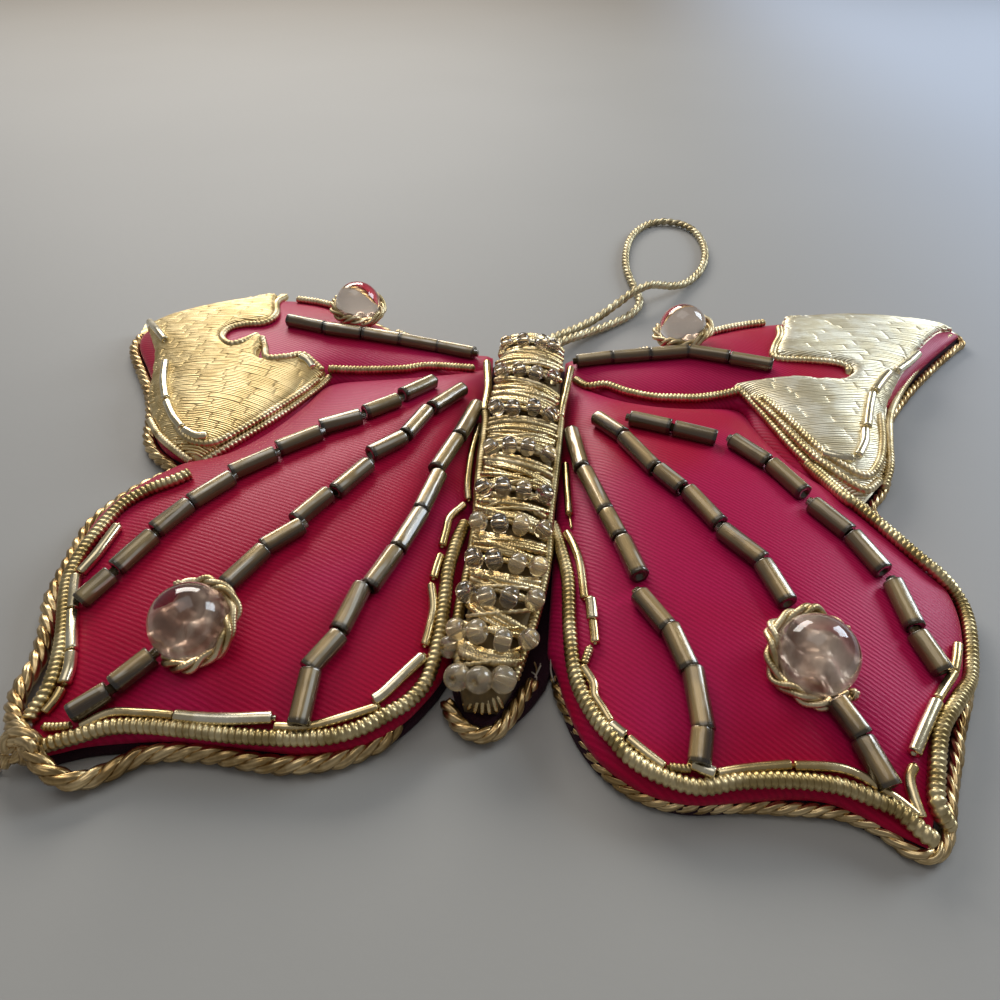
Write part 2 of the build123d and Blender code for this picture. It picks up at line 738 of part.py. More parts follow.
# Woven gold patches moulded over the forewing tips
for name, side in sides.items():
    pad = pads["fore_" + name]
    outline = places(side, patches[name]["outline"])
    slit = places(side, patches[name]["slit"])
    with BuildPart() as patch:
        add_pad(pad, seat_gap + patch_thickness, -raised_inset_share)
        with BuildSketch() as footprint:
            with BuildLine():
                draw_arcs(outline + outline[:1])
            make_face()
            with BuildLine() as slit_edge:
                Polyline(*slit, close=True)
            make_face(slit_edge.edges(), mode=Mode.SUBTRACT)
        extrude(footprint.sketch, amount=panel_length, mode=Mode.INTERSECT)
        add_pad(pad, seat_gap, -grown_inset_share, Mode.SUBTRACT)
    patch.part.label = "tip_patch_" + name
    finish(patch.part)

    for kind, radius in (("border", thick_purl_radius), ("accent", thin_purl_radius)):
        with BuildPart() as edging:
            lift = radius + cord_gap
            add_tube(seated(patch.part, side, patches[name][kind], lift), radius)
        edging.part.label = f"patch_{kind}_{name}"
        finish(edging.part)

# Glass beads, each in a ring of gold purl
for name, side in sides.items():
    for wing, (share, reach, radius) in gems[name].items():
        cover = covers[wing + "_" + name]
        foot, normal = seat(cover, place(side, share) + Vector(0, reach, 0), seat_gap)
        with BuildPart(Plane(origin=foot, z_dir=normal)) as gem:
            Sphere(
                radius,
                arc_size1=-math.degrees(math.asin(gem_sink_share)),
                align=(Align.CENTER, Align.CENTER, Align.MIN),
            )
        gem.part.label = f"{wing}_gem_{name}"
        finish(gem.part)

        ring_middle = foot + normal * setting_radius
        with BuildPart(Plane(origin=ring_middle, z_dir=normal)) as setting:
            Torus(radius + setting_radius + seat_gap, setting_radius)
        setting.part.label = f"{wing}_gem_setting_{name}"
        finish(setting.part)

# Padded body with its gold strands, seed beads and borders
with BuildPart() as body_core:
    stations = []
    for y_share in [station_shares[0] for station_shares in body_station_shares]:
        middle, half_width, height = body_profile(y_share)
        side_height = height - half_width * arch_rise_share
        with BuildSketch(Plane(origin=middle, x_dir=(1, 0, 0), z_dir=(0, -1, 0))) as station:
            with BuildLine():
                Polyline(
                    (half_width, side_height), (half_width, 0), (-half_width, 0),
                    (-half_width, side_height),
                )
                ThreePointArc(
                    (-half_width, side_height), (0, height), (half_width, side_height)
                )
            make_face()
        stations.append(station.sketch.face())
    loft(stations, ruled=True)
body_core.part.label = "body_core"
finish(body_core.part)

with BuildPart() as body_strands:
    for y_share in band_rows():
        add_arch_strand(y_share, band_strand_radius, band_span_degrees / 2)
body_strands.part.label = "body_strands"
finish(body_strands.part)

with BuildPart() as head_wraps:
    for y_share in head_wrap_shares:
        add_arch_strand(y_share, band_strand_radius, band_span_degrees / 2)
head_wraps.part.label = "head_wraps"
finish(head_wraps.part)

with BuildPart() as seed:
    Cylinder(seed_radius, seed_length)
    fillet(seed.edges(), seed_round)
    Cylinder(seed_bore_radius, seed_length, mode=Mode.SUBTRACT)

with BuildPart() as body_seeds:
    for y_share, count in zip(bead_row_shares, bead_row_counts):
        for index in range(count):
            degrees = (index - (count - 1) / 2) * bead_span_degrees / (count - 1)
            middle = arch_point(y_share, degrees, seed_radius + seat_gap)
            thread = Vector(math.cos(math.radians(degrees)), 0, -math.sin(math.radians(degrees)))
            with Locations(Plane(origin=middle, z_dir=thread).location):
                add(seed.part)
body_seeds.part.label = "body_seeds"
finish(body_seeds.part)

with BuildPart() as tail_bead:
    Sphere(tail_bead_radius)
    Cylinder(tail_bore_radius, 2 * tail_bead_radius, mode=Mode.SUBTRACT)

with BuildPart() as tail_beads:
    for degrees in tail_bead_degrees:
        middle = arch_point(tail_row_share, degrees, tail_bead_radius + tail_bead_gap)
        thread = Vector(math.cos(math.radians(degrees)), 0, -math.sin(math.radians(degrees)))
        with Locations(Plane(origin=middle, z_dir=thread).location):
            add(tail_bead.part)
tail_beads.part.label = "tail_beads"
finish(tail_beads.part)

fan_middle = body_profile(fan_share)[0]
with BuildPart() as tail_fan:
    for degrees in fan_degrees:
        outward = Vector(math.sin(math.radians(degrees)), -math.cos(math.radians(degrees)), 0)
        top = fan_middle + outward * fan_top_reach + Vector(0, 0, fan_height)
        foot = fan_middle + outward * fan_foot_reach + Vector(0, 0, band_strand_radius + seat_gap)
        add_strand(top, foot, band_strand_radius)
tail_fan.part.label = "tail_fan"
finish(tail_fan.part)

for name, side in sides.items():
    with BuildPart() as border:
        route = []
        for y_share in [border_start_share] + [station[0] for station in body_station_shares[2:]]:
            middle, half_width, height = body_profile(y_share)
            reach = half_width + border_purl_radius + cord_gap
            route.append(middle + Vector(side * reach, 0, height * border_height_share))
        add_tube(route, border_purl_radius)
    border.part.label = "body_border_" + name
    finish(border.part)

# Cord that covers the seam all round, in three lengths
level = Vector(0, 0, edge_cord_radius + seat_gap)
cord_reach = edge_cord_radius + edge_cord_gap
for name, side in sides.items():
    upper_seam = rim[name] + fore_rim[name][1:] + front[name][1:]
    if name == "right":
        row = outset(hem[name] + upper_seam[1:], side, cord_reach)[cord_start_index:]
        route = [point + level for point in row]
    else:
        hem_row = outset(hem[name], side, cord_reach)[cord_start_index:loose_hem_index]
        upper_row = outset(upper_seam, side, cord_reach)[loose_rim_index:]
        loose = [
            place(side, (x_share, y_share)) + Vector(0, 0, hind_crown * height_share)
            for x_share, y_share, height_share in left_loose_cord_shares
        ]
        lift = edge_cord_radius + crossing_gap
        crossing = seated(covers["hind_left"], side, left_crossing_shares, lift)
        half = len(loose) // 2
        route = [point + level for point in hem_row] + loose[:half] + crossing + loose[half:]
        route += [point + level for point in upper_row]
    with BuildPart() as edge_cord:
        add_tube(route, edge_cord_radius)
    edge_cord.part.label = "edge_cord_" + name
    finish(edge_cord.part)

with BuildPart() as tail_cord:
    tail_seam = places(right, tail_lobe_shares)
    row = outset(tail_seam, left, cord_reach)[1:-1]
    add_tube([point + level for point in row], edge_cord_radius)
tail_cord.part.label = "tail_cord"
finish(tail_cord.part)

# Stitch of cord at the head, and the hanging loop that swings from it
head_middle = body_profile(body_station_shares[-1][0])[0]
stitch_middle = Vector(head_middle.X + stitch_offset, head_middle.Y, stitch_height)
with BuildPart() as loop_stitch:
    add_strand(stitch_middle, stitch_middle + Vector(0, stitch_length, 0), stitch_radius)
loop_stitch.part.label = "loop_stitch"
finish(loop_stitch.part)

loop_points = [Vector(*point) for point in loop_route]
with BuildPart() as hanging_loop:
    add_tube(loop_points, loop_cord_radius)
    with Locations(loop_points[0], loop_points[-1]):
        Sphere(loop_cord_radius)
hanging_loop.part.label = "hanging_loop"
finish(hanging_loop.part)
loop_length = sum((last - first).length for first, last in zip(loop_points, loop_points[1:]))
print("loop radii", [round(radius, 1) for radius in corner_radii(loop_points)])
print("loop length", round(loop_length, 1), "section by length", round(
    math.pi * loop_cord_radius**2 * loop_length, 1))
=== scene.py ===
import logging
import math
from dataclasses import dataclass, field
from enum import Enum
from typing import Callable, Optional, Sequence

import bmesh
import bpy
import numpy as np
from mathutils import Matrix, Vector
from mathutils.bvhtree import BVHTree
from mathutils.geometry import delaunay_2d_cdt


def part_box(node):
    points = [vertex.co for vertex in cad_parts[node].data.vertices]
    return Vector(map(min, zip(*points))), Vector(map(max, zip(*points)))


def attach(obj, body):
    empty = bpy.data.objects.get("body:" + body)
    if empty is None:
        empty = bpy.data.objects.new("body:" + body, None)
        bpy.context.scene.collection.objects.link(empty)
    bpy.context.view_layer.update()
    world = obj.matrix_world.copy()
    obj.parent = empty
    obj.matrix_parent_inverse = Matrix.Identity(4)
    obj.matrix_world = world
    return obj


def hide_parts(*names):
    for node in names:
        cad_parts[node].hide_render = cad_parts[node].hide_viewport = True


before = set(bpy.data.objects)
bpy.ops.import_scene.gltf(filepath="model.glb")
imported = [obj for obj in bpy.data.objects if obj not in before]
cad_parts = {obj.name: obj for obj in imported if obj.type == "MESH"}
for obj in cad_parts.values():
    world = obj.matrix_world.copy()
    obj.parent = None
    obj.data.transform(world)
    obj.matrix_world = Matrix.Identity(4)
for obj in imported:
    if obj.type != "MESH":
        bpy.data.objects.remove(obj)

log = logging.getLogger("butterfly")

MM = 0.001
WING_SPAN = 150.0
PANEL_LENGTH = 100.0
BODY_LINE = -3.5
WAIST_LINE = -4.8
CARD_TOP = 1.4
SEAM_STEP = 0.8
KEPT_SHARE = 0.93
TINY = 1e-9

Points = Sequence[tuple[float, ...]]
Colour = tuple[float, float, float]


class Side(Enum):
    """The two sides of the butterfly, seen from above with the head away."""

    RIGHT = 1
    LEFT = -1

    @property
    def word(self) -> str:
        """The side's name in the pieces' names."""
        return self.name.lower()


class Body(Enum):
    """The bodies that the pieces ride on."""

    BUTTERFLY = "butterfly"
    LOOP = "loop"


class Signal:
    """One value or colour that flows between nodes, with arithmetic."""

    def __init__(self, recipe: "Recipe", socket: bpy.types.NodeSocket) -> None:
        """Wrap an output socket of a recipe's tree."""
        self.recipe = recipe
        self.socket = socket

    def _math(self, operation: str, *others: "float | Signal", swap: bool = False) -> "Signal":
        """Add one Math node.

        Args:
            operation: the Math node's operation.
            others: the other operands.
            swap: True if this signal is the second operand.

        Returns:
            The node's value.
        """
        operands = (*others, self) if swap else (self, *others)
        node = self.recipe.node(
            "ShaderNodeMath", {"operation": operation}, dict(enumerate(operands))
        )
        return Signal(self.recipe, node.outputs[0])

    def __add__(self, other: "float | Signal") -> "Signal":
        """This value plus another."""
        return self._math("ADD", other)

    __radd__ = __add__

    def __sub__(self, other: "float | Signal") -> "Signal":
        """This value less another."""
        return self._math("SUBTRACT", other)

    def __rsub__(self, other: "float | Signal") -> "Signal":
        """Another value less this one."""
        return self._math("SUBTRACT", other, swap=True)

    def __mul__(self, other: "float | Signal") -> "Signal":
        """This value times another."""
        return self._math("MULTIPLY", other)

    __rmul__ = __mul__

    def sine(self) -> "Signal":
        """Sine of this value in radians."""
        return self._math("SINE")

    def size(self) -> "Signal":
        """This value without its sign."""
        return self._math("ABSOLUTE")

    def step(self, low: float, high: float) -> "Signal":
        """Smooth step from 0 at low to 1 at high."""
        node = self.recipe.node(
            "ShaderNodeMapRange",
            {"interpolation_type": "SMOOTHSTEP"},
            {"Value": self, "From Min": low, "From Max": high},
        )
        return Signal(self.recipe, node.outputs[0])

    def part(self, axis: int) -> "Signal":
        """One coordinate of this vector."""
        node = self.recipe.node("ShaderNodeSeparateXYZ", {}, {0: self})
        return Signal(self.recipe, node.outputs[axis])


class Recipe:
    """A material's tree of nodes, built from expressions."""

    def __init__(self, name: str) -> None:
        """Start an empty material."""
        self.material = bpy.data.materials.new(name)
        self.material.use_nodes = True
        self.tree = self.material.node_tree
        self.tree.nodes.clear()

    def node(self, kind: str, settings: dict, sockets: dict) -> bpy.types.Node:
        """Add one node.

        Args:
            kind: the node's type.
            settings: its own settings, set first.
            sockets: a value or a signal for each socket, by name or by number.

        Returns:
            The new node.
        """
        node = self.tree.nodes.new(kind)
        for key, value in settings.items():
            setattr(node, key, value)
        for key, value in sockets.items():
            if isinstance(value, Signal):
                self.tree.links.new(value.socket, node.inputs[key])
            else:
                node.inputs[key].default_value = value
        return node

    def coordinates(self, kind: str = "Object") -> Signal:
        """Texture coordinates, of the object or of its own map."""
        return Signal(self, self.node("ShaderNodeTexCoord", {}, {}).outputs[kind])

    def scaled(self, vector: Signal, scale: tuple[float, float, float], turn: float = 0) -> Signal:
        """A vector turned about Z, then scaled along each axis."""
        node = self.node(
            "ShaderNodeMapping",
            {"vector_type": "POINT"},
            {"Vector": vector, "Rotation": (0, 0, turn), "Scale": scale},
        )
        return Signal(self, node.outputs[0])

    def noise(self, vector: Signal, scale: float, detail: float = 3, rough: float = 0.5) -> Signal:
        """Cloudy noise from 0 to 1."""
        node = self.node(
            "ShaderNodeTexNoise",
            {},
            {"Vector": vector, "Scale": scale, "Detail": detail, "Roughness": rough},
        )
        return Signal(self, node.outputs[0])

    def mix(self, factor: "float | Signal", low: "Colour | Signal", high: "Colour | Signal") -> Signal:
        """A colour between two others."""
        ends = [(*end, 1) if isinstance(end, tuple) else end for end in (low, high)]
        node = self.node(
            "ShaderNodeMix",
            {"data_type": "RGBA", "clamp_factor": True},
            {0: factor, 6: ends[0], 7: ends[1]},
        )
        return Signal(self, node.outputs[2])

    def bump(self, height: Signal, depth: float) -> Signal:
        """A normal raised by a height of that many metres."""
        sockets = {"Height": height, "Distance": depth, "Strength": 1.0}
        return Signal(self, self.node("ShaderNodeBump", {}, sockets).outputs[0])

    def surface(self, **sockets: object) -> bpy.types.Material:
        """Close the tree with a Principled shader.

        Args:
            sockets: values and signals by socket name, with underscores for spaces.

        Returns:
            The finished material.
        """
        named = {
            key.replace("_", " "): (*value, 1) if isinstance(value, tuple) and len(value) == 3 else value
            for key, value in sockets.items()
        }
        shader = self.node("ShaderNodeBsdfPrincipled", {}, named)
        output = self.node("ShaderNodeOutputMaterial", {}, {})
        self.tree.links.new(shader.outputs[0], output.inputs[0])
        return self.material


@dataclass(frozen=True)
class Satin:
    """Crimson satin with a fine slanted twill whose low lines carry painted shade, and a magenta sheen, partly
    painted into the colour as cloudy magenta patches.
    """

    name: str = "satin"
    twill_turn: float = 0.0
    crimson: Colour = (0.560, 0.004, 0.045)
    # magenta: colour of the painted sheen patches
    magenta: Colour = (0.600, 0.010, 0.105)
    # painted shade colour for the twill's low lines
    hollow: Colour = (0.230, 0.001, 0.018)

    def build(self) -> bpy.types.Material:
        """Build the material."""
        recipe = Recipe(self.name)
        place = recipe.coordinates()
        cloud = recipe.noise(place, 34, 2)
        drift = recipe.noise(place, 150, 3)
        laid = recipe.scaled(place, (1, 1, 1), self.twill_turn)
        ridge = (laid.part(1) * 12400 + drift * 4.0 + cloud * 6).sine() * 0.5 + 0.5
        thread = recipe.noise(recipe.scaled(laid, (2600, 9000, 1500)), 1, 2)
        # painted sheen: cloudy patches of magenta stand for the cool light's sheen and are laid at random over
        # the crimson
        colour = recipe.mix(cloud.step(0.42, 0.60), self.crimson, self.magenta)
        # painted shade: darker crimson in the twill's low lines and the threads' low spots, where the bump
        # sinks
        colour = recipe.mix((1 - ridge) * 0.30 + (1 - thread) * 0.42, colour, self.hollow)
        return recipe.surface(
            Base_Color=colour,
            Roughness=drift * 0.10 + 0.34,
            Normal=recipe.bump(ridge * 0.6 + thread * 0.9, 0.000030),
            Specular_IOR_Level=0.30,
            Specular_Tint=(1.0, 0.30, 0.50),
            Sheen_Weight=0.10,
            Sheen_Roughness=0.4,
            Sheen_Tint=(1.0, 0.45, 0.70),
        )


@dataclass(frozen=True)
class Gilt:
    """Gilt wire: bright metal with duller brown patches at random and roughness varying with them, and, where
    it has wires, painted shade in the grooves between them.
    """

    name: str
    bright: Colour = (0.62, 0.46, 0.20)
    dull: Colour = (0.30, 0.19, 0.075)
    rough: float = 0.26
    grain: float = 900.0
    wires: float = 0.0

    def build(self) -> bpy.types.Material:
        """Build the material."""
        recipe = Recipe(self.name)
        place = recipe.coordinates()
        worn = recipe.noise(place, 260, 4, 0.6)
        speck = recipe.noise(place, self.grain * 3, 2)
        colour = recipe.mix(worn.step(0.38, 0.64), self.dull, self.bright)
        height = speck * 0.4
        if self.wires:
            map_place = recipe.coordinates("UV")
            wire = (map_place.part(0) * self.wires + map_place.part(1) * 1.6).sine() * 0.5 + 0.5
            # painted shade: darker brown in the grooves between the wires
            colour = recipe.mix((1 - wire) * 0.40, colour, (0.16, 0.09, 0.035))
            height = height + wire
        return recipe.surface(
            Base_Color=colour,
            Metallic=1.0,
            Roughness=worn * 0.16 + (self.rough - 0.06),
            Normal=recipe.bump(height, 0.00002),
        )


@dataclass(frozen=True)
class Glass:
    """Silver-lined bugle glass: khaki within, painted light along the top and painted shade in dark brown at
    the sides, a painted highlight streak, and dark ends.
    """

    name: str = "bugle_glass"
    # light: the lining's khaki where painted light falls along the top; dark: painted shade at the sides and
    # bottom
    light: Colour = (0.520, 0.360, 0.150)
    dark: Colour = (0.036, 0.019, 0.007)
    # colour of the painted highlight streak
    streak: Colour = (0.70, 0.66, 0.55)

    def build(self) -> bpy.types.Material:
        """Build the material."""
        recipe = Recipe(self.name)
        place = recipe.coordinates()
        map_place = recipe.coordinates("UV")
        turned = recipe.noise(place, 60, 1) * 0.36 - 0.18
        around = map_place.part(0) - 0.5 + turned
        along = (map_place.part(1) - 0.5).size()
        grain = recipe.noise(recipe.scaled(map_place, (22, 0.8, 1)), 3, 3)
        tone = recipe.noise(place, 210, 2)
        # painted light and shade: the lining's khaki is kept along the top of the tube and turns dark brown at
        # the sides and bottom; the same mask also sets the lining's metal
        lining = 1 - (around.size() + grain * 0.08).step(0.06, 0.22)
        body = recipe.mix(lining * 0.9 + 0.04, self.dark, self.light)
        body = recipe.mix(tone.step(0.46, 0.66) * 0.45, body, (0.110, 0.080, 0.045))
        # painted highlight: a thin pale streak just beside the top of each bead
        line = 1 - (around - 0.075).size().step(0.012, 0.040)
        body = recipe.mix(line * tone.step(0.40, 0.60) * 0.8, body, self.streak)
        body = recipe.mix(along.step(0.42, 0.49) * 0.8, body, (0.012, 0.008, 0.004))
        return recipe.surface(
            Base_Color=body,
            Metallic=lining * 0.30 + 0.05,
            Roughness=grain * 0.18 + 0.16,
            Coat_Weight=1.0,
            Coat_Roughness=0.05,
            Coat_IOR=1.55,
            Normal=recipe.bump(grain, 0.00003),
        )


@dataclass(frozen=True)
class ClearGlass:
    """Glass that light passes through, clear or frosted."""

    name: str
    tint: Colour = (0.93, 0.80, 0.70)
    rough: float = 0.03
    passing: float = 1.0

    def build(self) -> bpy.types.Material:
        """Build the material."""
        recipe = Recipe(self.name)
        place = recipe.coordinates()
        haze = recipe.noise(place, 420, 3)
        tint = recipe.mix(haze.step(0.35, 0.7) * 0.35, self.tint, tuple(0.75 * c for c in self.tint))
        return recipe.surface(
            Base_Color=tint,
            Roughness=haze * 0.08 + self.rough,
            Transmission_Weight=self.passing,
            IOR=1.47,
            Coat_Weight=0.5,
            Coat_Roughness=0.05,
            Normal=recipe.bump(haze, 0.00003),
        )


@dataclass(frozen=True)
class Foil:
    """Cloudy champagne lining under a glass bead."""

    name: str = "gem_lining"
    pale: Colour = (0.86, 0.76, 0.66)
    deep: Colour = (0.34, 0.20, 0.14)

    def build(self) -> bpy.types.Material:
        """Build the material."""
        recipe = Recipe(self.name)
        place = recipe.coordinates()
        cloud = recipe.noise(recipe.scaled(place, (1, 0.45, 1), 0.5), 330, 4)
        colour = recipe.mix(cloud.step(0.36, 0.62), self.deep, self.pale)
        return recipe.surface(
            Base_Color=colour, Roughness=cloud * 0.3 + 0.25, Metallic=0.35, Normal=recipe.bump(cloud, 0.0001)
        )


@dataclass(frozen=True)
class Velvet:
    """Short dark pile."""

    name: str = "velvet"
    deep: Colour = (0.008, 0.003, 0.006)
    nap: Colour = (0.045, 0.012, 0.022)

    def build(self) -> bpy.types.Material:
        """Build the material."""
        recipe = Recipe(self.name)
        place = recipe.coordinates()
        pile = recipe.noise(place, 5200, 3, 0.7)
        lay = recipe.noise(place, 240, 3)
        colour = recipe.mix(pile * lay * 2.0, self.deep, self.nap)
        return recipe.surface(
            Base_Color=colour,
            Roughness=pile * 0.1 + 0.85,
            Specular_IOR_Level=0.15,
            Sheen_Weight=0.12,
            Sheen_Roughness=0.5,
            Sheen_Tint=(0.55, 0.35, 0.42),
            Normal=recipe.bump(pile, 0.00018),
        )


@dataclass(frozen=True)
class Plain:
    """Card, cloth or thread: a matt surface with fibres."""

    name: str
    colour: Colour
    fibre: float = 1800.0
    sheen: float = 0.1

    def build(self) -> bpy.types.Material:
        """Build the material."""
        recipe = Recipe(self.name)
        place = recipe.coordinates()
        fibre = recipe.noise(recipe.scaled(place, (1, 0.3, 1), 0.4), self.fibre, 4, 0.6)
        colour = recipe.mix(fibre, tuple(0.55 * c for c in self.colour), self.colour)
        return recipe.surface(
            Base_Color=colour,
            Roughness=fibre * 0.15 + 0.7,
            Sheen_Weight=self.sheen,
            Normal=recipe.bump(fibre, 0.00006),
        )


def distances(line: np.ndarray) -> np.ndarray:
    """Distance along a line to each of its points."""
    return np.concatenate([[0], np.cumsum(np.linalg.norm(np.diff(line, axis=0), axis=1))])


def stepped(line: np.ndarray, at: np.ndarray) -> np.ndarray:
    """Points at some distances along a line."""
    reach = distances(line)
    return np.stack([np.interp(at, reach, line[:, axis]) for axis in range(line.shape[1])], 1)


def flow(route: "Points | np.ndarray", step: float, returns: bool = False) -> np.ndarray:
    """A smooth line through points.

    Args:
        route: the points, in millimetres.
        step: the distance between the line's own points.
        returns: True if the line returns to its start.

    Returns:
        Points at an even spacing.
    """
    knots = np.array(route, float)
    if returns:
        knots = np.concatenate([knots[-1:], knots, knots[:2]])
    else:
        knots = np.concatenate([2 * knots[:1] - knots[1:2], knots, 2 * knots[-1:] - knots[-2:-1]])
    share = np.linspace(0, 1, 17)[:-1, None]
    spans = []
    for a, b, c, d in zip(knots, knots[1:], knots[2:], knots[3:]):
        spans.append(
            0.5 * (2 * b + (c - a) * share + (2 * a - 5 * b + 4 * c - d) * share**2
                   + (3 * b - a - 3 * c + d) * share**3)
        )
    line = np.concatenate([*spans, knots[-2:-1]])
    length = distances(line)[-1]
    return stepped(line, np.linspace(0, length, max(2, int(round(length / step)) + 1)))


def directions(line: np.ndarray) -> tuple[np.ndarray, np.ndarray, np.ndarray]:
    """Directions along, across and above each point of a line.

    Args:
        line: the line's points.

    Returns:
        Unit vectors along it, to its side, and up from it, without twist.
    """
    along = np.gradient(line, axis=0)
    along /= np.maximum(np.linalg.norm(along, axis=1)[:, None], TINY)
    up = np.zeros_like(along)
    first = np.array([0.0, 0.0, 1.0]) if abs(along[0][2]) < 0.9 else np.array([0.0, 1.0, 0.0])
    current = first - along[0] * first.dot(along[0])
    current /= np.linalg.norm(current)
    for index, ahead in enumerate(along):
        current = current - ahead * current.dot(ahead)
        current /= max(np.linalg.norm(current), TINY)
        up[index] = current
    return along, np.cross(along, up), up


def net(number: np.ndarray, around: bool = False, along: bool = False) -> list:
    """Four-sided faces between neighbours in a grid of point numbers.

    Args:
        number: the grid.
        around: True if the last column meets the first.
        along: True if the last row meets the first.

    Returns:
        The faces.
    """
    if around:
        number = np.concatenate([number, number[:, :1]], 1)
    if along:
        number = np.concatenate([number, number[:1]], 0)
    corners = (number[:-1, :-1], number[:-1, 1:], number[1:, 1:], number[1:, :-1])
    return np.stack(corners, -1).reshape(-1, 4).tolist()


def numbered(grid: np.ndarray) -> np.ndarray:
    """Number of each point in a grid of points, row by row."""
    rows, columns = grid.shape[:2]
    return np.arange(rows * columns).reshape(rows, columns)


def placed(name: str, data: bpy.types.ID) -> bpy.types.Object:
    """A new object in the scene."""
    piece = bpy.data.objects.new(name, data)
    bpy.context.scene.collection.objects.link(piece)
    return piece


class Shape:
    """Faces gathered for one piece, in millimetres."""

    def __init__(self) -> None:
        """Start with nothing."""
        self.points: list[np.ndarray] = []
        self.faces: list[tuple[int, ...]] = []
        self.maps: list[np.ndarray] = []
        self.slots: list[int] = []
        self.count = 0

    def add(self, points: np.ndarray, faces: Sequence[tuple[int, ...]],
            uv: Optional[np.ndarray] = None, slot: int = 0) -> None:
        """Add points and the faces between them.

        Args:
            points: the new points.
            faces: faces by number among the new points.
            uv: a place on the piece's map for each point.
            slot: the number of the faces' finish.
        """
        self.points.append(np.asarray(points, float))
        self.maps.append(np.zeros((len(points), 2)) if uv is None else uv)
        self.faces += [tuple(int(i) + self.count for i in face) for face in faces]
        self.slots += [slot] * len(faces)
        self.count += len(points)

    def tube(self, line: np.ndarray, radius: Callable, around: int = 12, slot: int = 0,
             bore: float = 0.0, unit: float = 1.0) -> None:
        """Add a closed tube along a line.

        Args:
            line: points at an even spacing.
            radius: a function of distance and angle that gives its radius.
            around: the number of corners round the tube.
            slot: the number of its finish.
            bore: radius of the hole shown in each end.
            unit: length on the line that one unit of the map stands for.
        """
        _, side, up = directions(line)
        reach = distances(line)
        angle = np.linspace(0, 2 * math.pi, around + 1)
        radii = radius(reach[:, None], angle[None])
        ring = (
            line[:, None]
            + side[:, None] * (np.sin(angle)[None] * radii)[..., None]
            - up[:, None] * (np.cos(angle)[None] * radii)[..., None]
        )
        rows, columns = ring.shape[:2]
        uv = np.stack(np.broadcast_arrays(angle[None] / (2 * math.pi), reach[:, None] / unit), -1)
        number = numbered(ring)
        points, faces, uvs = [ring.reshape(-1, 3)], net(number), [uv.reshape(-1, 2)]
        total = rows * columns
        for row, way in ((0, -1), (rows - 1, 1)):
            middle = line[row]
            edge = number[row].tolist()
            if bore:
                hole = middle + (ring[row] - middle) * (bore / max(radii[row].mean(), TINY))
                out = middle - line[row - way]
                sunk = hole - way * out / max(np.linalg.norm(out), TINY) * bore
                rims = np.concatenate([hole, sunk, [sunk.mean(0)]])
                start, sink, last = total, total + columns, total + 2 * columns
                points.append(rims)
                uvs.append(np.full((len(rims), 2), (0.5, float(row > 0) * reach[-1] / unit)))
                for k in range(columns - 1):
                    ring_faces = [
                        (edge[k], start + k, start + k + 1, edge[k + 1]),
                        (start + k, sink + k, sink + k + 1, start + k + 1),
                        (sink + k, last, sink + k + 1),
                    ]
                    faces += [face if way < 0 else face[::-1] for face in ring_faces]
                total += len(rims)
            else:
                points.append(middle[None])
                uvs.append(np.full((1, 2), (0.5, float(row > 0) * reach[-1] / unit)))
                for k in range(columns - 1):
                    face = (edge[k], total, edge[k + 1])
                    faces.append(face if way < 0 else face[::-1])
                total += 1
        self.add(np.concatenate(points), faces, np.concatenate(uvs), slot)

    def piece(self, name: str, finishes: Sequence[bpy.types.Material], replaces: Sequence[str],
              slot: str = "gold_purl", body: Body = Body.BUTTERFLY, merge: bool = True) -> bpy.types.Object:
        """Turn the faces into one object.

        Args:
            name: the piece's name.
            finishes: its materials, by slot number.
            replaces: the solids that it stands for, none or more.
            slot: not used.
            body: the body that it rides on.
            merge: True to weld points that lie on each other.

        Returns:
            The object.
        """
        mesh = bpy.data.meshes.new(name)
        mesh.from_pydata((np.concatenate(self.points) * MM).tolist(), [], self.faces)
        layer = mesh.uv_layers.new(name="laid")
        corners = np.empty(len(mesh.loops), np.int32)
        mesh.loops.foreach_get("vertex_index", corners)
        layer.uv.foreach_set("vector", np.concatenate(self.maps)[corners].astype(np.float32).ravel())
        for finish in finishes:
            mesh.materials.append(finish)
        mesh.polygons.foreach_set("material_index", np.array(self.slots, np.int32))
        mesh.polygons.foreach_set("use_smooth", np.ones(len(mesh.polygons), bool))
        if merge:
            weld(mesh)
        piece = placed(name, mesh)
        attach(piece, body.value)
        if replaces:
            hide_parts(*replaces)
        log.info("%s: %d faces", name, len(mesh.polygons))
        return piece


def weld(mesh: bpy.types.Mesh) -> None:
    """Join points that lie on each other, and turn all faces outward."""
    work = bmesh.new()
    work.from_mesh(mesh)
    bmesh.ops.remove_doubles(work, verts=work.verts, dist=0.002 * MM)
    bmesh.ops.recalc_face_normals(work, faces=work.faces)
    work.to_mesh(mesh)
    work.free()


def ribbed(radius: float, pitch: float = 0.66, depth: float = 0.30, taper: float = 0.3) -> Callable:
    """Radius of a coil of wire as a function of distance and angle.

    Args:
        radius: the coil's outer radius.
        pitch: the distance from turn to turn.
        depth: how deep the groove is, as a share of the radius.
        taper: length over which the ends draw in.

    Returns:
        The function that Shape.tube takes.
    """

    def at(reach: np.ndarray, angle: np.ndarray) -> np.ndarray:
        """Radius at a distance and angle."""
        wave = np.abs(np.cos(math.pi * reach / pitch + angle / 2)) ** 1.3
        ends = np.minimum(reach, reach.max() - reach)
        close = np.clip(ends / taper, 0, 1)
        return radius * (1 - depth + depth * np.sqrt(wave)) * (0.55 + 0.45 * np.sqrt(close))

    return at


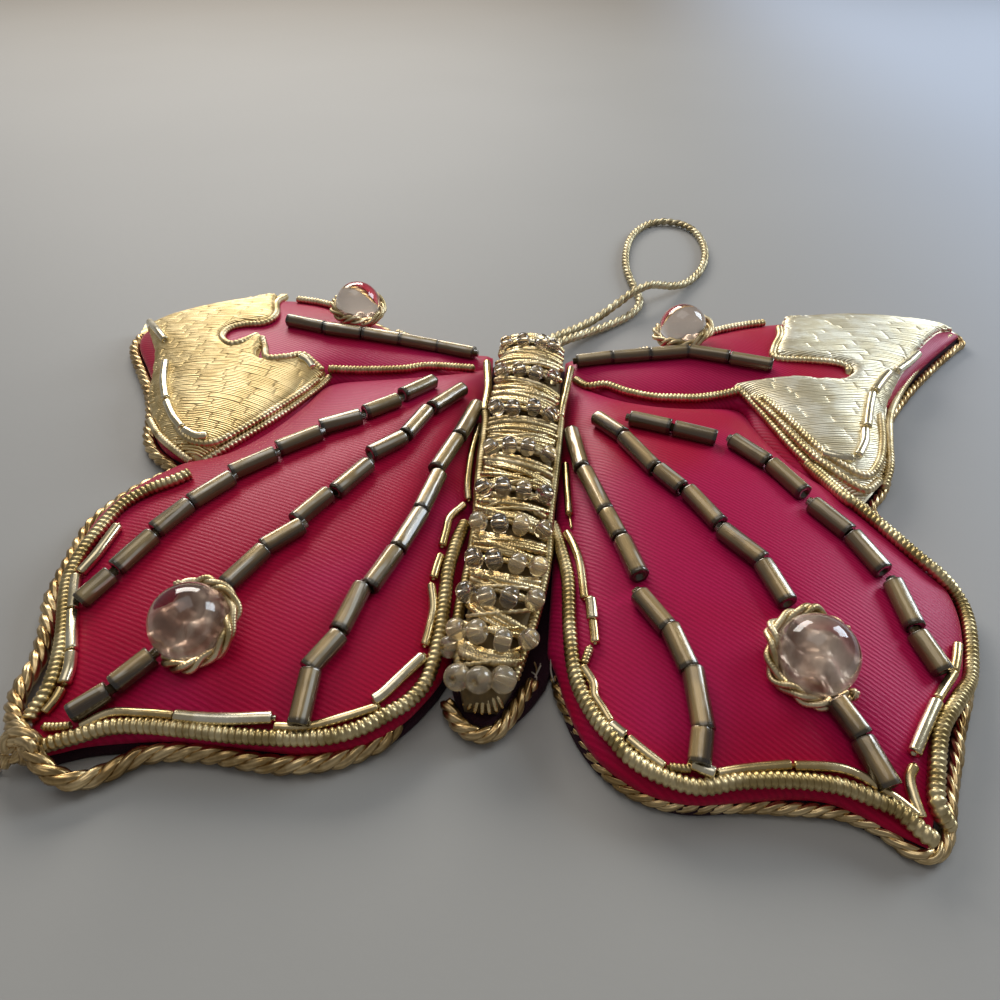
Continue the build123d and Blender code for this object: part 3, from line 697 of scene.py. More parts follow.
def smooth(radius: float, taper: float = 0.16, share: float = 0.8) -> Callable:
    """Radius of a plain tube whose ends are eased."""

    def at(reach: np.ndarray, angle: np.ndarray) -> np.ndarray:
        """Radius at a distance and angle."""
        ends = np.minimum(reach, reach.max() - reach)
        close = np.clip(ends / taper, 0, 1)
        return radius * (share + (1 - share) * np.sqrt(close)) + 0 * angle

    return at


def plan(side: Side, shares: Sequence[float]) -> np.ndarray:
    """Plan point from shares outward from the body's line and towards the head."""
    return np.array([BODY_LINE + side.value * WING_SPAN * shares[0], WAIST_LINE + PANEL_LENGTH * shares[1]])


def plans(side: Side, table: Points) -> np.ndarray:
    """Plan points of a table of shares."""
    return np.array([plan(side, shares) for shares in table])


def off_edge(points: np.ndarray, edge: np.ndarray) -> np.ndarray:
    """Distance from each plan point to the nearest run of a line."""
    least = np.full(len(points), 1e9)
    for start, end in zip(edge, edge[1:]):
        run = end - start
        length = max(run.dot(run), 1e-12)
        share = np.clip((points - start) @ run / length, 0, 1)
        least = np.minimum(least, np.linalg.norm(points - start - share[:, None] * run, axis=1))
    return least


def inside(points: np.ndarray, edge: np.ndarray) -> np.ndarray:
    """True for each plan point within a closed line."""
    crossed = np.zeros(len(points), bool)
    for start, end in zip(edge, np.roll(edge, -1, axis=0)):
        if start[1] == end[1]:
            continue
        spans = (points[:, 1] < start[1]) != (points[:, 1] < end[1])
        at = start[0] + (points[:, 1] - start[1]) * (end[0] - start[0]) / (end[1] - start[1])
        crossed ^= spans & (points[:, 0] < at)
    return crossed


def outward(edge: np.ndarray) -> np.ndarray:
    """Unit direction away from a closed plan line at each of its points."""
    run = np.roll(edge, -1, axis=0) - np.roll(edge, 1, axis=0)
    area = np.sum(edge[:, 0] * np.roll(edge[:, 1], -1) - np.roll(edge[:, 0], -1) * edge[:, 1])
    out = np.stack([run[:, 1], -run[:, 0]], 1) * (1 if area > 0 else -1)
    return out / np.maximum(np.linalg.norm(out, axis=1)[:, None], TINY)


def closed(edge: np.ndarray) -> np.ndarray:
    """A line with its first point added at its end."""
    return np.concatenate([edge, edge[:1]])


def scattered(edge: np.ndarray, step: float, gap: float) -> np.ndarray:
    """Square lattice of plan points within an edge, more than a gap away from it."""
    low, high = edge.min(0), edge.max(0)
    xs, ys = np.meshgrid(np.arange(low[0], high[0], step), np.arange(low[1], high[1], step))
    points = np.stack([xs.ravel(), ys.ravel()], 1)
    return points[inside(points, edge) & (off_edge(points, closed(edge)) > gap)]


def triangles(flat: np.ndarray, rim: int) -> tuple[np.ndarray, list]:
    """Triangles between plan points.

    Args:
        flat: the points, of which the first ones make a closed rim.
        rim: the number of those.

    Returns:
        The points as they are used, and the triangles.
    """
    rims = [(k, (k + 1) % rim) for k in range(rim)]
    found = delaunay_2d_cdt([Vector(p) for p in flat], rims, [], 1, 1e-6)
    return np.array([tuple(v) for v in found[0]]), [tuple(f) for f in found[2]]


def seam(side: Side, *tables: Points) -> np.ndarray:
    """Closed plan line through tables of shares."""
    lines = [flow(plans(side, table), SEAM_STEP) for table in tables]
    inner = flow([lines[-1][-1], lines[0][0]], SEAM_STEP)
    return np.concatenate([line[:-1] for line in (*lines, inner)])


class Eye:
    """The camera, and the lines of sight through the photograph's points."""

    place = np.array([1.4856, -83.3843, 68.3640])
    yaw = 0.0864027
    pitch = 0.7041894
    roll = -0.001606
    focus = 760.0
    middle = 500.0

    def __init__(self) -> None:
        """Work out the camera's axes."""
        cos, sin = math.cos, math.sin
        ahead = np.array([0, cos(self.pitch), -sin(self.pitch)])
        right, up = np.array([1.0, 0, 0]), np.array([0, sin(self.pitch), cos(self.pitch)])
        rolled = cos(self.roll) * right + sin(self.roll) * up, -sin(self.roll) * right + cos(self.roll) * up
        turn = np.array([[cos(self.yaw), -sin(self.yaw), 0], [sin(self.yaw), cos(self.yaw), 0], [0, 0, 1]])
        self.right, self.up, self.ahead = turn @ rolled[0], turn @ rolled[1], turn @ ahead

    def sight(self, pixel: Sequence[float]) -> np.ndarray:
        """Unit direction through a point of the photograph."""
        run = (
            self.ahead
            + self.right * (pixel[0] - self.middle) / self.focus
            - self.up * (pixel[1] - self.middle) / self.focus
        )
        return run / np.linalg.norm(run)

    def at_height(self, pixel: Sequence[float], height: float) -> np.ndarray:
        """Point at a height that shows at a point of the photograph."""
        run = self.sight(pixel)
        return self.place + run * (height - self.place[2]) / run[2]

    def at_heights(self, table: Points, heights: Sequence[float]) -> list[np.ndarray]:
        """Points at their heights that show at the photograph's points."""
        return [self.at_height(pixel, height) for pixel, height in zip(table, heights)]

    def camera(self) -> None:
        """Make the scene's camera."""
        data = bpy.data.cameras.new("eye")
        data.lens = 36 * self.focus / 1000
        data.sensor_width = 36
        data.clip_start, data.clip_end = 0.001, 10
        camera = placed("eye", data)
        turn = Matrix((self.right, self.up, -self.ahead)).transposed()
        camera.matrix_world = Matrix.Translation(Vector(self.place * MM)) @ turn.to_4x4()
        bpy.context.scene.camera = camera


EYE = Eye()


class Ground:
    """A surface that other pieces are seated on."""

    nearer, farther, stride = -8.0, 5.0, 0.3
    grazing = -0.12
    unseen = 99.0
    floor_room = 0.3

    def __init__(self, points: np.ndarray, faces: Sequence[Sequence[int]]) -> None:
        """Index the surface's faces."""
        self.tree = BVHTree.FromPolygons([Vector(p) for p in points], [list(f) for f in faces])

    def gap(self, point: np.ndarray) -> tuple[float, np.ndarray]:
        """Height of a point over the surface, and the surface's direction there."""
        near, normal, _, _ = self.tree.find_nearest(Vector(point))
        normal = normal if normal.z > 0 else -normal
        away = Vector(point) - near
        height = away.length * (1 if away.dot(normal) >= 0 else -1)
        return height, np.array(normal)

    def seen(self, pixel: Sequence[float], lift: float) -> np.ndarray:
        """Point at a lift off the surface that shows at a point of the photograph.

        Args:
            pixel: the point of the photograph.
            lift: the distance off the surface.

        Returns:
            The point on the line of sight, or next to it where the surface turns away.
        """
        run = EYE.sight(pixel)
        hit = self.tree.ray_cast(Vector(EYE.place), Vector(run))
        start = np.array(hit[0]) if hit[0] is not None else EYE.at_height(pixel, 3.0)
        reach = (start - EYE.place) @ run + np.arange(self.nearer, self.farther, self.stride)
        heights = np.full(len(reach), self.unseen)
        closest = (self.unseen, start, np.array([0.0, 0.0, 1.0]))
        for index, each in enumerate(reach):
            point = EYE.place + run * each
            near, normal, _, _ = self.tree.find_nearest(Vector(point))
            near, normal = np.array(near), np.array(normal if normal.z > 0 else -normal)
            if normal @ run > self.grazing:
                continue
            away = point - near
            if np.linalg.norm(away) < closest[0]:
                closest = (np.linalg.norm(away), near, normal)
            heights[index] = np.linalg.norm(away) * (1 if away @ normal >= 0 else -1)
        under = np.flatnonzero(heights <= lift)
        if not len(under) or under[0] == 0:
            place = closest[1] + closest[2] * lift
        else:
            end = under[0]
            share = (heights[end - 1] - lift) / (heights[end - 1] - heights[end])
            place = EYE.place + run * (reach[end - 1] + share * self.stride)
        return np.array([place[0], place[1], max(place[2], lift + self.floor_room)])

    def laid(self, table: Points, lift: float, step: float) -> np.ndarray:
        """Line at a lift off the surface through the photograph's points."""
        return flow([self.seen(pixel, lift) for pixel in table], step)

    def above(self, place: Sequence[float], lift: float) -> tuple[np.ndarray, np.ndarray]:
        """Point at a lift off the surface over a plan point, and the direction up from it."""
        hit = self.tree.ray_cast(Vector((place[0], place[1], 60)), Vector((0, 0, -1)))
        if hit[0] is None:
            near, normal, _, _ = self.tree.find_nearest(Vector((place[0], place[1], 4)))
        else:
            near, normal = hit[0], hit[1]
        normal = np.array(normal if normal.z > 0 else -normal)
        return np.array(near) + normal * lift, normal


@dataclass
class Pillow:
    """A padded satin form within a seam."""

    edge: np.ndarray
    crown: float
    base: Callable[[np.ndarray], np.ndarray]
    pressed: list = field(default_factory=list)
    lean: Callable[[np.ndarray], np.ndarray] = lambda points: np.zeros(len(points))
    spacing: float = 0.85
    roundness: float = 0.42
    bulge: float = 0.35
    bulge_width: float = 1.6
    bulge_height: float = 3.4
    ring_depths: tuple = (0.12, 0.32, 0.62, 1.05, 1.6)

    def mesh(self) -> tuple[np.ndarray, list]:
        """Points and faces of the puffed surface.

        Returns:
            Its points, and its triangles.
        """
        edge = self.edge
        loop = closed(edge)
        inward = -outward(edge)
        grown = [edge]
        for depth in self.ring_depths:
            ring = edge + inward * depth
            keep = inside(ring, edge) & (off_edge(ring, loop) > KEPT_SHARE * depth)
            grown.append(ring[keep])
        low, high = edge.min(0), edge.max(0)
        rows = np.arange(low[1], high[1], self.spacing * 0.87)
        lattice = []
        for index, y in enumerate(rows):
            xs = np.arange(low[0] + (index % 2) * self.spacing / 2, high[0], self.spacing)
            lattice.append(np.stack([xs, np.full(len(xs), y)], 1))
        lattice = np.concatenate(lattice)
        lattice = lattice[inside(lattice, edge)]
        lattice = lattice[off_edge(lattice, loop) > 2.1]
        flat, faces = triangles(np.concatenate([*grown, lattice]), len(edge))
        height = self.puff(flat, faces, loop)
        out = self.push(flat, height, inward, edge)
        return np.column_stack([out, height]), faces

    def cover(self, pair: str, side: Side, finishes: "Finishes") -> Ground:
        """Make one wing's satin cover, which stands for its satin and its wadding.

        Args:
            pair: "hind" or "fore".
            side: the wing's side.
            finishes: the materials.

        Returns:
            The cover's surface, for what is sewn on it.
        """
        points, faces = self.mesh()
        shape = Shape()
        shape.add(points, faces)
        satin = shape.piece(
            f"satin_{pair}_{side.word}", [finishes.satin[side]],
            [f"{pair}_{side.word}_satin", f"{pair}_{side.word}_padding"], slot="satin")
        return Ground(points, faces)

    def puff(self, flat: np.ndarray, faces: list, loop: np.ndarray) -> np.ndarray:
        """Height of each point of the stretched cloth over its wadding.

        Args:
            flat: plan points.
            faces: triangles between them.
            loop: the closed seam.

        Returns:
            The heights.
        """
        corner = np.array(faces)
        first, last, weight = [], [], []
        for a, b, c in ((0, 1, 2), (1, 2, 0), (2, 0, 1)):
            one = flat[corner[:, a]] - flat[corner[:, c]]
            two = flat[corner[:, b]] - flat[corner[:, c]]
            turn = np.abs(one[:, 0] * two[:, 1] - one[:, 1] * two[:, 0])
            first.append(corner[:, a])
            last.append(corner[:, b])
            weight.append(np.clip((one * two).sum(1) / np.maximum(turn, TINY), 0.02, 20))
        first, last, weight = map(np.concatenate, (first, last, weight))
        rim = off_edge(flat, loop) < 1e-4
        free = ~rim
        count = len(flat)
        total = np.bincount(first, weight, count) + np.bincount(last, weight, count)

        def spread(values: np.ndarray) -> np.ndarray:
            """Pull of each point's neighbours."""
            pulled = np.bincount(first, weight * values[last], count)
            return total * values - pulled - np.bincount(last, weight * values[first], count)

        def settle(load: np.ndarray, fixed: np.ndarray) -> np.ndarray:
            """Height at which the cloth is at rest under a load."""
            values = fixed.copy()
            rest = np.where(free, load - spread(values), 0)
            ahead = rest / total
            hand = (rest * ahead).sum()
            for _ in range(400):
                if hand < 1e-10:
                    break
                pulled = np.where(free, spread(ahead), 0)
                share = hand / (ahead * pulled).sum()
                values = values + share * ahead
                rest = rest - share * pulled
                eased = rest / total
                fresh = (rest * eased).sum()
                ahead = eased + ahead * fresh / hand
                hand = fresh
            return values

        corners = flat[corner]
        sides = corners[:, 1] - corners[:, 0], corners[:, 2] - corners[:, 0]
        areas = 0.5 * np.abs(sides[0][:, 0] * sides[1][:, 1] - sides[0][:, 1] * sides[1][:, 0])
        load = np.bincount(corner.ravel(), np.repeat(areas / 3, 3), count)
        swell = np.clip(settle(load, np.zeros(count)), 0, None)
        swell = (swell / swell.max()) ** self.roundness
        ground = settle(np.zeros(count), np.where(rim, self.base(flat), CARD_TOP))
        height = ground + (self.crown + self.lean(flat)) * swell
        for line, depth, width in self.pressed:
            away = off_edge(flat, line)
            height -= depth * np.exp(-(away / width) ** 2) * np.clip(swell * 2, 0, 1)
        return height

    def push(self, flat: np.ndarray, height: np.ndarray, inward: np.ndarray, edge: np.ndarray) -> np.ndarray:
        """Plan points moved so that the cloth's side bulges past its seam."""
        index = np.array([int(np.argmin(((edge - p) ** 2).sum(1))) for p in flat])
        away = np.linalg.norm(flat - edge[index], axis=1)
        share = np.exp(-(away / self.bulge_width) ** 2) * np.sin(
            np.clip((height - CARD_TOP) / self.bulge_height, 0, 1) * math.pi)
        return flat - inward[index] * (self.bulge * share)[:, None]


@dataclass
class WingTables:
    """Seams of one side, as shares outward and along."""

    hem: Points
    rim: Points
    division: Points
    fore_rim: Points
    front: Points


RIGHT_SEAMS = WingTables(
    hem=[
        (0.038, -0.262), (0.045, -0.288), (0.050, -0.315), (0.0565, -0.342), (0.064, -0.364),
        (0.074, -0.384), (0.087, -0.400), (0.105, -0.414), (0.129, -0.420), (0.160, -0.414),
        (0.190, -0.407), (0.213, -0.407), (0.233, -0.418), (0.249, -0.431), (0.266, -0.443),
    ],
    rim=[
        (0.266, -0.443), (0.276, -0.412), (0.288, -0.372), (0.304, -0.325), (0.321, -0.279),
        (0.336, -0.228), (0.346, -0.172), (0.346, -0.122), (0.338, -0.076), (0.327, -0.030),
        (0.309, 0.022),
    ],
    division=[
        (0.309, 0.022), (0.275, 0.046), (0.249, 0.106), (0.233, 0.170), (0.222, 0.234),
        (0.180, 0.219), (0.133, 0.213), (0.085, 0.240), (0.044, 0.290),
    ],
    fore_rim=[
        (0.309, 0.022), (0.327, 0.058), (0.341, 0.096), (0.349, 0.140), (0.357, 0.200),
        (0.379, 0.264), (0.416, 0.345), (0.458, 0.425), (0.494, 0.488), (0.516, 0.526),
    ],
    front=[
        (0.516, 0.526), (0.497, 0.545), (0.457, 0.555), (0.384, 0.553), (0.304, 0.518),
        (0.225, 0.478), (0.156, 0.405), (0.103, 0.369), (0.044, 0.345),
    ],
)
LEFT_SEAMS = WingTables(
    hem=[
        (0.029, -0.262), (0.037, -0.306), (0.047, -0.335), (0.057, -0.357), (0.073, -0.380),
        (0.094, -0.394), (0.119, -0.400), (0.146, -0.399), (0.173, -0.398), (0.207, -0.397),
        (0.233, -0.4014), (0.261, -0.4094), (0.278, -0.419), (0.294, -0.427),
    ],
    rim=[
        (0.294, -0.427), (0.304, -0.395), (0.308, -0.352), (0.316, -0.302), (0.332, -0.250),
        (0.348, -0.194), (0.357, -0.140), (0.358, -0.085), (0.345, -0.035), (0.328, 0.002),
        (0.311, 0.034),
    ],
    division=[
        (0.311, 0.034), (0.277, 0.042), (0.248, 0.098), (0.227, 0.170), (0.211, 0.248),
        (0.163, 0.254), (0.109, 0.270), (0.077, 0.284), (0.040, 0.308),
    ],
    fore_rim=[
        (0.311, 0.034), (0.341, 0.060), (0.365, 0.102), (0.381, 0.164), (0.401, 0.224),
        (0.425, 0.280), (0.446, 0.325), (0.460, 0.360), (0.469, 0.400),
    ],
    front=[
        (0.469, 0.400), (0.449, 0.446), (0.404, 0.492), (0.331, 0.536), (0.273, 0.530),
        (0.224, 0.496), (0.160, 0.425), (0.103, 0.374), (0.042, 0.350),
    ],
)
SEAMS = {Side.RIGHT: RIGHT_SEAMS, Side.LEFT: LEFT_SEAMS}


@dataclass
class HindStitching:
    """What is sewn on one hindwing, at the photograph's points."""

    inner: Points
    middle: Points
    outer: Points
    hem_purl: Points
    rim_purl: Points
    thin_purls: Sequence[tuple[int, Points]]
    gem: tuple[float, float]
    gem_ring: tuple[float, float]


RIGHT_HIND = HindStitching(
    inner=[
        (571.6, 432.3, 582.1, 468.8), (584.9, 471.6, 605.9, 512.2), (607.3, 513.6, 620, 537.5),
        (622.8, 540.3, 639.6, 575.4), (639.5, 594.7, 667.6, 627.9), (670.2, 627.9, 689.3, 668.7),
        (692.9, 669.7, 704, 730.3), (702.5, 730.3, 699.3, 763.8),
    ],
    middle=[
        (597.5, 418, 622.8, 435), (624.2, 437.9, 655, 468.8), (659.3, 470.2, 681.7, 488.4),
        (688.7, 491.2, 719.6, 523.5), (722.4, 529.7, 762, 560.3), (763.3, 564.1, 787.5, 602.4),
        (835.9, 700.8, 862.4, 735.5), (862.4, 739.6, 890, 786.5),
    ],
    outer=[
        (631.2, 418.2, 670.5, 426.7), (674.7, 428.1, 715.4, 437.9), (732.7, 440.4, 767, 462),
        (772.2, 464.6, 804, 492.7), (813, 504.2, 848.7, 532.2), (852.6, 536, 883.2, 570.5),
        (893.4, 583.3, 915, 626.6), (917.6, 634.3, 943.1, 671.3),
    ],
    hem_purl=[
        (552.7, 524.4), (560.8, 549.3), (568, 578.7), (569.6, 622.6), (572.5, 659.3), (579.8, 688.6),
        (596, 718), (615, 740), (630, 757), (659, 775), (699, 787), (740, 781), (789.8, 780),
        (839.5, 786), (879.3, 801), (899.2, 810.8), (924, 833), (936.5, 841),
    ],
    rim_purl=[
        (944, 836), (938, 806), (936.5, 778.5), (941.5, 728.8), (958.9, 698.9), (970, 676), (969, 629.3),
        (958.9, 599.4), (939, 574.5), (917.9, 557), (889.3, 532.2), (859.4, 507.4), (839.5, 492.4),
        (789, 448), (761, 420),
    ],
    thin_purls=[
        (0, [(565.5, 464.5), (567.5, 490), (569.3, 514.3)]),
        (3, [(569.3, 515), (570.5, 521), (571.6, 528)]),
        (0, [(566.6, 532.5), (575, 548), (580.6, 565.5), (585, 599)]),
        (1, [(590.8, 599.2), (592, 610), (592.6, 620)]),
        (0, [(593, 621), (594.4, 632), (595.2, 643.2)]),
        (2, [(590, 647.6), (587, 656), (584.2, 664.4)]),
        (0, [(582.8, 666.6), (593, 682.8), (594.5, 696), (601.8, 707.7), (610.6, 722.3)]),
        (1, [(610.4, 724.5), (618, 731), (625.7, 736.7)]),
        (0, [(627.8, 737.8), (646, 753), (664.5, 767.3)]),
        (2, [(668.6, 767.3), (680, 768.6), (691, 769.4)]),
        (1, [(691, 763.3), (703, 769), (715.5, 773.5)]),
        (0, [(717.6, 773.5), (740, 769.8), (765, 767), (791, 764.8)]),
        (0, [(793.5, 766), (816, 766.5), (839.5, 768.5), (860, 776), (879.3, 788.4), (900, 802), (918, 817)]),
        (0, [(957.7, 644), (956.4, 658), (953.9, 671.5)]),
        (0, [(953.9, 672.5), (946, 685), (937, 699)]),
        (1, [(936.5, 701.4), (925, 727), (914, 753.6)]),
        (0, [(914, 766), (909.5, 778.5), (914, 798), (921.6, 818.3)]),
    ],
    gem=(816, 655),
    gem_ring=(40, 318),
)
LEFT_HIND = HindStitching(
    inner=[
        (476.8, 405.9, 459, 436.5), (456.4, 439, 436, 469.7), (438.6, 474.8, 420.7, 510.5),
        (420.7, 513, 397.8, 548.8), (395.2, 551.3, 369.7, 587), (362, 587, 339, 630.4),
        (339, 635.5, 308.5, 668.7), (311, 671.2, 298.3, 724.8),
    ],
    middle=[
        (461.8, 389.5, 432.4, 408.2), (427, 410.9, 405.6, 435), (402.9, 437.7, 370.7, 453.8),
        (368, 464.5, 335.9, 491.3), (327.9, 493.9, 295.7, 520.7), (301, 526, 263.6, 547.5),
        (263.6, 550.2, 226, 585), (151, 656, 114, 685), (108, 691, 71.4, 713.5),
    ],
    outer=[
        (432.4, 381.4, 402.9, 394.8), (397.5, 400.2, 365.4, 412.2), (360, 416.3, 321.2, 427),
        (319.8, 432.3, 278.3, 448.4), (274.3, 453.8, 231.4, 472.5), (231.4, 477.9, 191.3, 502),
        (188.6, 504.7, 155.1, 530), (152.4, 535.5, 116.3, 567.6), (110.9, 574.3, 80.1, 601),
    ],
    hem_purl=[
        (465.5, 523), (456.7, 542), (447.9, 571.3), (443.5, 608), (437.6, 644.6), (426.7, 679.5),
        (408.4, 701), (385.4, 714.7), (362.5, 727), (331.8, 736.1), (301.2, 738.4), (270.6, 737.7),
        (229.7, 735), (183.7, 729.4), (147, 726), (110.2, 727), (75.8, 736.3), (43.6, 745.5),
    ],
    rim_purl=[
        (28, 722), (35, 710), (44, 697), (52, 681), (58, 661), (62, 642), (64, 621), (65, 601),
        (68, 582), (76, 563), (94, 536), (120, 507), (146, 491), (175, 480), (191, 473),
    ],
    thin_purls=[
        (0, [(479, 425.5), (471.3, 453), (467.5, 483.7), (468.3, 500.5)]),
        (0, [(464, 505), (450, 517.4), (446, 531), (442, 546.4)]),
        (0, [(440.5, 555.2), (436.5, 567), (433.2, 578.7)]),
        (0, [(431, 584.5), (433.2, 608), (428.8, 630), (424.4, 646)]),
        (1, [(422.9, 656.5), (403, 675), (383.9, 693.3), (373, 701)]),
        (0, [(377.8, 707), (342, 718), (307.4, 727), (273.7, 727)]),
        (1, [(272.9, 717.8), (229.7, 719), (200, 718), (174.6, 715.6)]),
        (0, [(174, 715.6), (142.4, 713.3), (110.2, 713.3), (80.4, 727)]),
        (2, [(43.6, 727), (57, 727), (71.2, 726)]),
        (1, [(118, 526), (96.5, 554.8), (80.4, 573)]),
        (1, [(76, 576), (74, 592), (72.5, 609)]),
        (1, [(72, 612), (71.5, 630), (71.5, 650)]),
        (1, [(71, 653), (69, 669), (64, 684)]),
        (0, [(62, 688), (55, 700), (44, 713)]),
    ],
    gem=(190, 622),
    gem_ring=(-128, 118),
)
HIND = {Side.RIGHT: RIGHT_HIND, Side.LEFT: LEFT_HIND}


@dataclass
class Finishes:
    """Every material of the butterfly, built once."""

    satin: dict = field(default_factory=dict)

    def __post_init__(self) -> None:
        """Build the materials."""
        self.satin = {
            Side.RIGHT: Satin("satin_right", 0.62).build(),
            Side.LEFT: Satin("satin_left", 0.36).build(),
        }
        self.purl = Gilt("ribbed_purl", (0.78, 0.64, 0.36), (0.42, 0.31, 0.13), 0.33).build()
        self.bright = Gilt("bright_purl", (0.90, 0.74, 0.44), (0.60, 0.44, 0.20), 0.24).build()
        self.silver = Gilt("silver_purl", (0.95, 0.88, 0.68), (0.74, 0.63, 0.40), 0.22).build()
        self.cord = Gilt("cord_strands", (0.93, 0.71, 0.38), (0.46, 0.30, 0.12), 0.28, wires=50.3).build()
        self.loop = Gilt("loop_strands", (0.74, 0.66, 0.44), (0.50, 0.42, 0.24), 0.42, wires=50.3).build()
        self.pale = Gilt("pale_purl", (0.88, 0.74, 0.48), (0.54, 0.41, 0.20), 0.36).build()
        self.weave = {
            Side.RIGHT: Gilt("woven_strands", (1.0, 0.94, 0.76), (0.88, 0.78, 0.54), 0.42).build(),
            Side.LEFT: Gilt("warm_woven_strands", (0.95, 0.77, 0.42), (0.74, 0.56, 0.26), 0.42).build(),
        }
        self.ground = Plain("gold_ground", (0.20, 0.13, 0.045), sheen=0.02).build()
        self.bugle = Glass().build()
        self.dull_bugle = Glass("dull_bugle_glass", (0.42, 0.31, 0.14), (0.085, 0.055, 0.020)).build()
        self.gem = ClearGlass("clear_glass").build()
        self.lining = Foil().build()
        self.smoky = ClearGlass("smoky_glass", (0.74, 0.66, 0.54), 0.03, 0.95).build()
        self.frosted = ClearGlass("frosted_glass", (0.95, 0.82, 0.58), 0.16, 0.80).build()
        self.velvet = Velvet().build()
        self.card = Plain("card", (0.60, 0.52, 0.40)).build()
        self.thread = Plain("thread", (0.80, 0.72, 0.60), 4000).build()


@dataclass
class HindWing:
    """One hindwing: satin over wadding, with its purls, bugles and bead."""

    side: Side
    finishes: Finishes
    crown: float = 6.3
    tilt_rise: float = 0.055
    lean_rise: float = 0.033
    bugle_radius: float = 1.14
    gem_radius: float = 4.2
    purl_radius: float = 0.84
    thin_radius: float = 0.50
    ray_depths: tuple = (0.35, 0.35, 0.30)
    ray_width: float = 2.0
    seam_rise: float = 2.6
    rise_width: float = 9.0
    middle: tuple = (21.0, -9.5)

    def __post_init__(self) -> None:
        """Take the side's tables and make the seam."""
        self.sewn = HIND[self.side]
        seams = SEAMS[self.side]
        self.edge = seam(self.side, seams.hem, seams.rim, seams.division)

    def base(self, points: np.ndarray) -> np.ndarray:
        """Height of the seam: high beside the body near the head, low elsewhere."""
        beside = np.exp(-(np.abs(points[:, 0] - BODY_LINE) / self.rise_width) ** 2)
        ahead = 1 / (1 + np.exp(-(points[:, 1] + 8.0) / 7.0))
        return CARD_TOP + self.seam_rise * beside * ahead

    def lean(self, points: np.ndarray) -> np.ndarray:
        """How much the crown rises towards the head and the body."""
        outward = self.side.value * (points[:, 0] - BODY_LINE)
        return self.tilt_rise * (points[:, 1] - self.middle[1]) - self.lean_rise * (outward - self.middle[0])

    def build(self) -> None:
        """Build the wing's pieces."""
        side, finishes = self.side, self.finishes
        word = side.word
        draft = Pillow(self.edge, self.crown, self.base, [], self.lean, 1.4)
        ground = Ground(*draft.mesh())
        pressed = []
        for table, depth in zip((self.sewn.inner, self.sewn.middle, self.sewn.outer), self.ray_depths):
            ends = [ground.seen(pixel, 1.0)[:2] for pixel in (*(bead[:2] for bead in table), table[-1][2:])]
            pressed.append((np.array(ends), depth, self.ray_width))
        self.ground = Pillow(self.edge, self.crown, self.base, pressed, self.lean).cover("hind", side, finishes)
        self.purls()
        self.bugles()
        Gem(self.ground, self.sewn.gem, f"hind_gem_{word}", self.gem_radius, self.sewn.gem_ring,
            finishes).build()

    def purls(self) -> None:
        """Lay the thick and the thin purls."""
        word = self.side.word
        for table, name in ((self.sewn.hem_purl, "hem_purl"), (self.sewn.rim_purl, "rim_purl")):
            shape = Shape()
            shape.tube(self.ground.laid(table, self.purl_radius * 0.85, 0.085), ribbed(self.purl_radius), 12)
            shape.piece(f"{name}_laid_{word}", [self.finishes.purl], [f"{name}_{word}"])
        shape = Shape()
        for kind, table in self.sewn.thin_purls:
            radius = self.thin_radius * (1.05, 1.35, 0.95, 0.4)[kind]
            rib = ribbed(radius, 0.4, 0.2, 0.1) if kind == 2 else ribbed(radius, 0.16, 0.05, 0.1)
            line = self.ground.laid(table, radius * 0.95, 0.08)
            shape.tube(line, rib, 12, slot=kind % 3, bore=radius * 0.45)
        shape.piece(f"thin_purls_laid_{word}", [self.finishes.bright, self.finishes.silver, self.finishes.purl],
                    [f"thin_purls_{word}"])

    def bugles(self) -> None:
        """Sew the three rays of bugle beads."""
        word = self.side.word
        sewn = self.sewn
        for ray, table in (("inner", sewn.inner), ("middle", sewn.middle), ("outer", sewn.outer)):
            shape = Shape()
            for index, bead in enumerate(table):
                ends = [self.ground.seen(pixel, self.bugle_radius * 0.9) for pixel in (bead[:2], bead[2:])]
                add_bugle(shape, self.ground, *ends, self.bugle_radius, turn=index * 1.7)
            glass = self.finishes.dull_bugle if ray == "outer" else self.finishes.bugle
            shape.piece(f"bugles_{ray}_{word}", [glass, self.finishes.ground],
                        [f"hind_{ray}_bugles_{word}"], slot="bugle_glass")


def add_bugle(shape: Shape, ground: Ground, first: np.ndarray, last: np.ndarray, radius: float,
              turn: float = 0.0) -> None:
    """Add one bugle bead, clear of the cloth between its ends.

    Args:
        shape: the shape that takes it.
        ground: the cloth.
        first: the middle of one end.
        last: the middle of the other end.
        radius: the bead's radius.
        turn: how far its soft facets are turned.
    """
    seat_share, overrun, rounding, facets, facet_depth = 0.86, 0.13, 0.14, 6, 0.030
    height, normal = ground.gap((first + last) / 2)
    lift = max(0.0, radius * seat_share - height)
    first, last = first + normal * lift, last + normal * lift
    length = np.linalg.norm(last - first)
    gap = -overrun * (last - first) / length

    def at(reach: np.ndarray, angle: np.ndarray) -> np.ndarray:
        """Radius with soft facets and rounded rims."""
        ends = np.minimum(reach, reach.max() - reach)
        close = np.clip(ends / rounding, 0, 1)
        return radius * (0.88 + 0.12 * np.sqrt(close)) * (1 + facet_depth * np.cos(facets * angle + turn))

    steps = np.array([0, 0.008, 0.02, 0.05, 0.2, 0.5, 0.8, 0.95, 0.98, 0.992, 1])
    line = first + gap + steps[:, None] * (last - first - 2 * gap)
    shape.tube(line, at, 24, bore=radius * 0.5, unit=length)


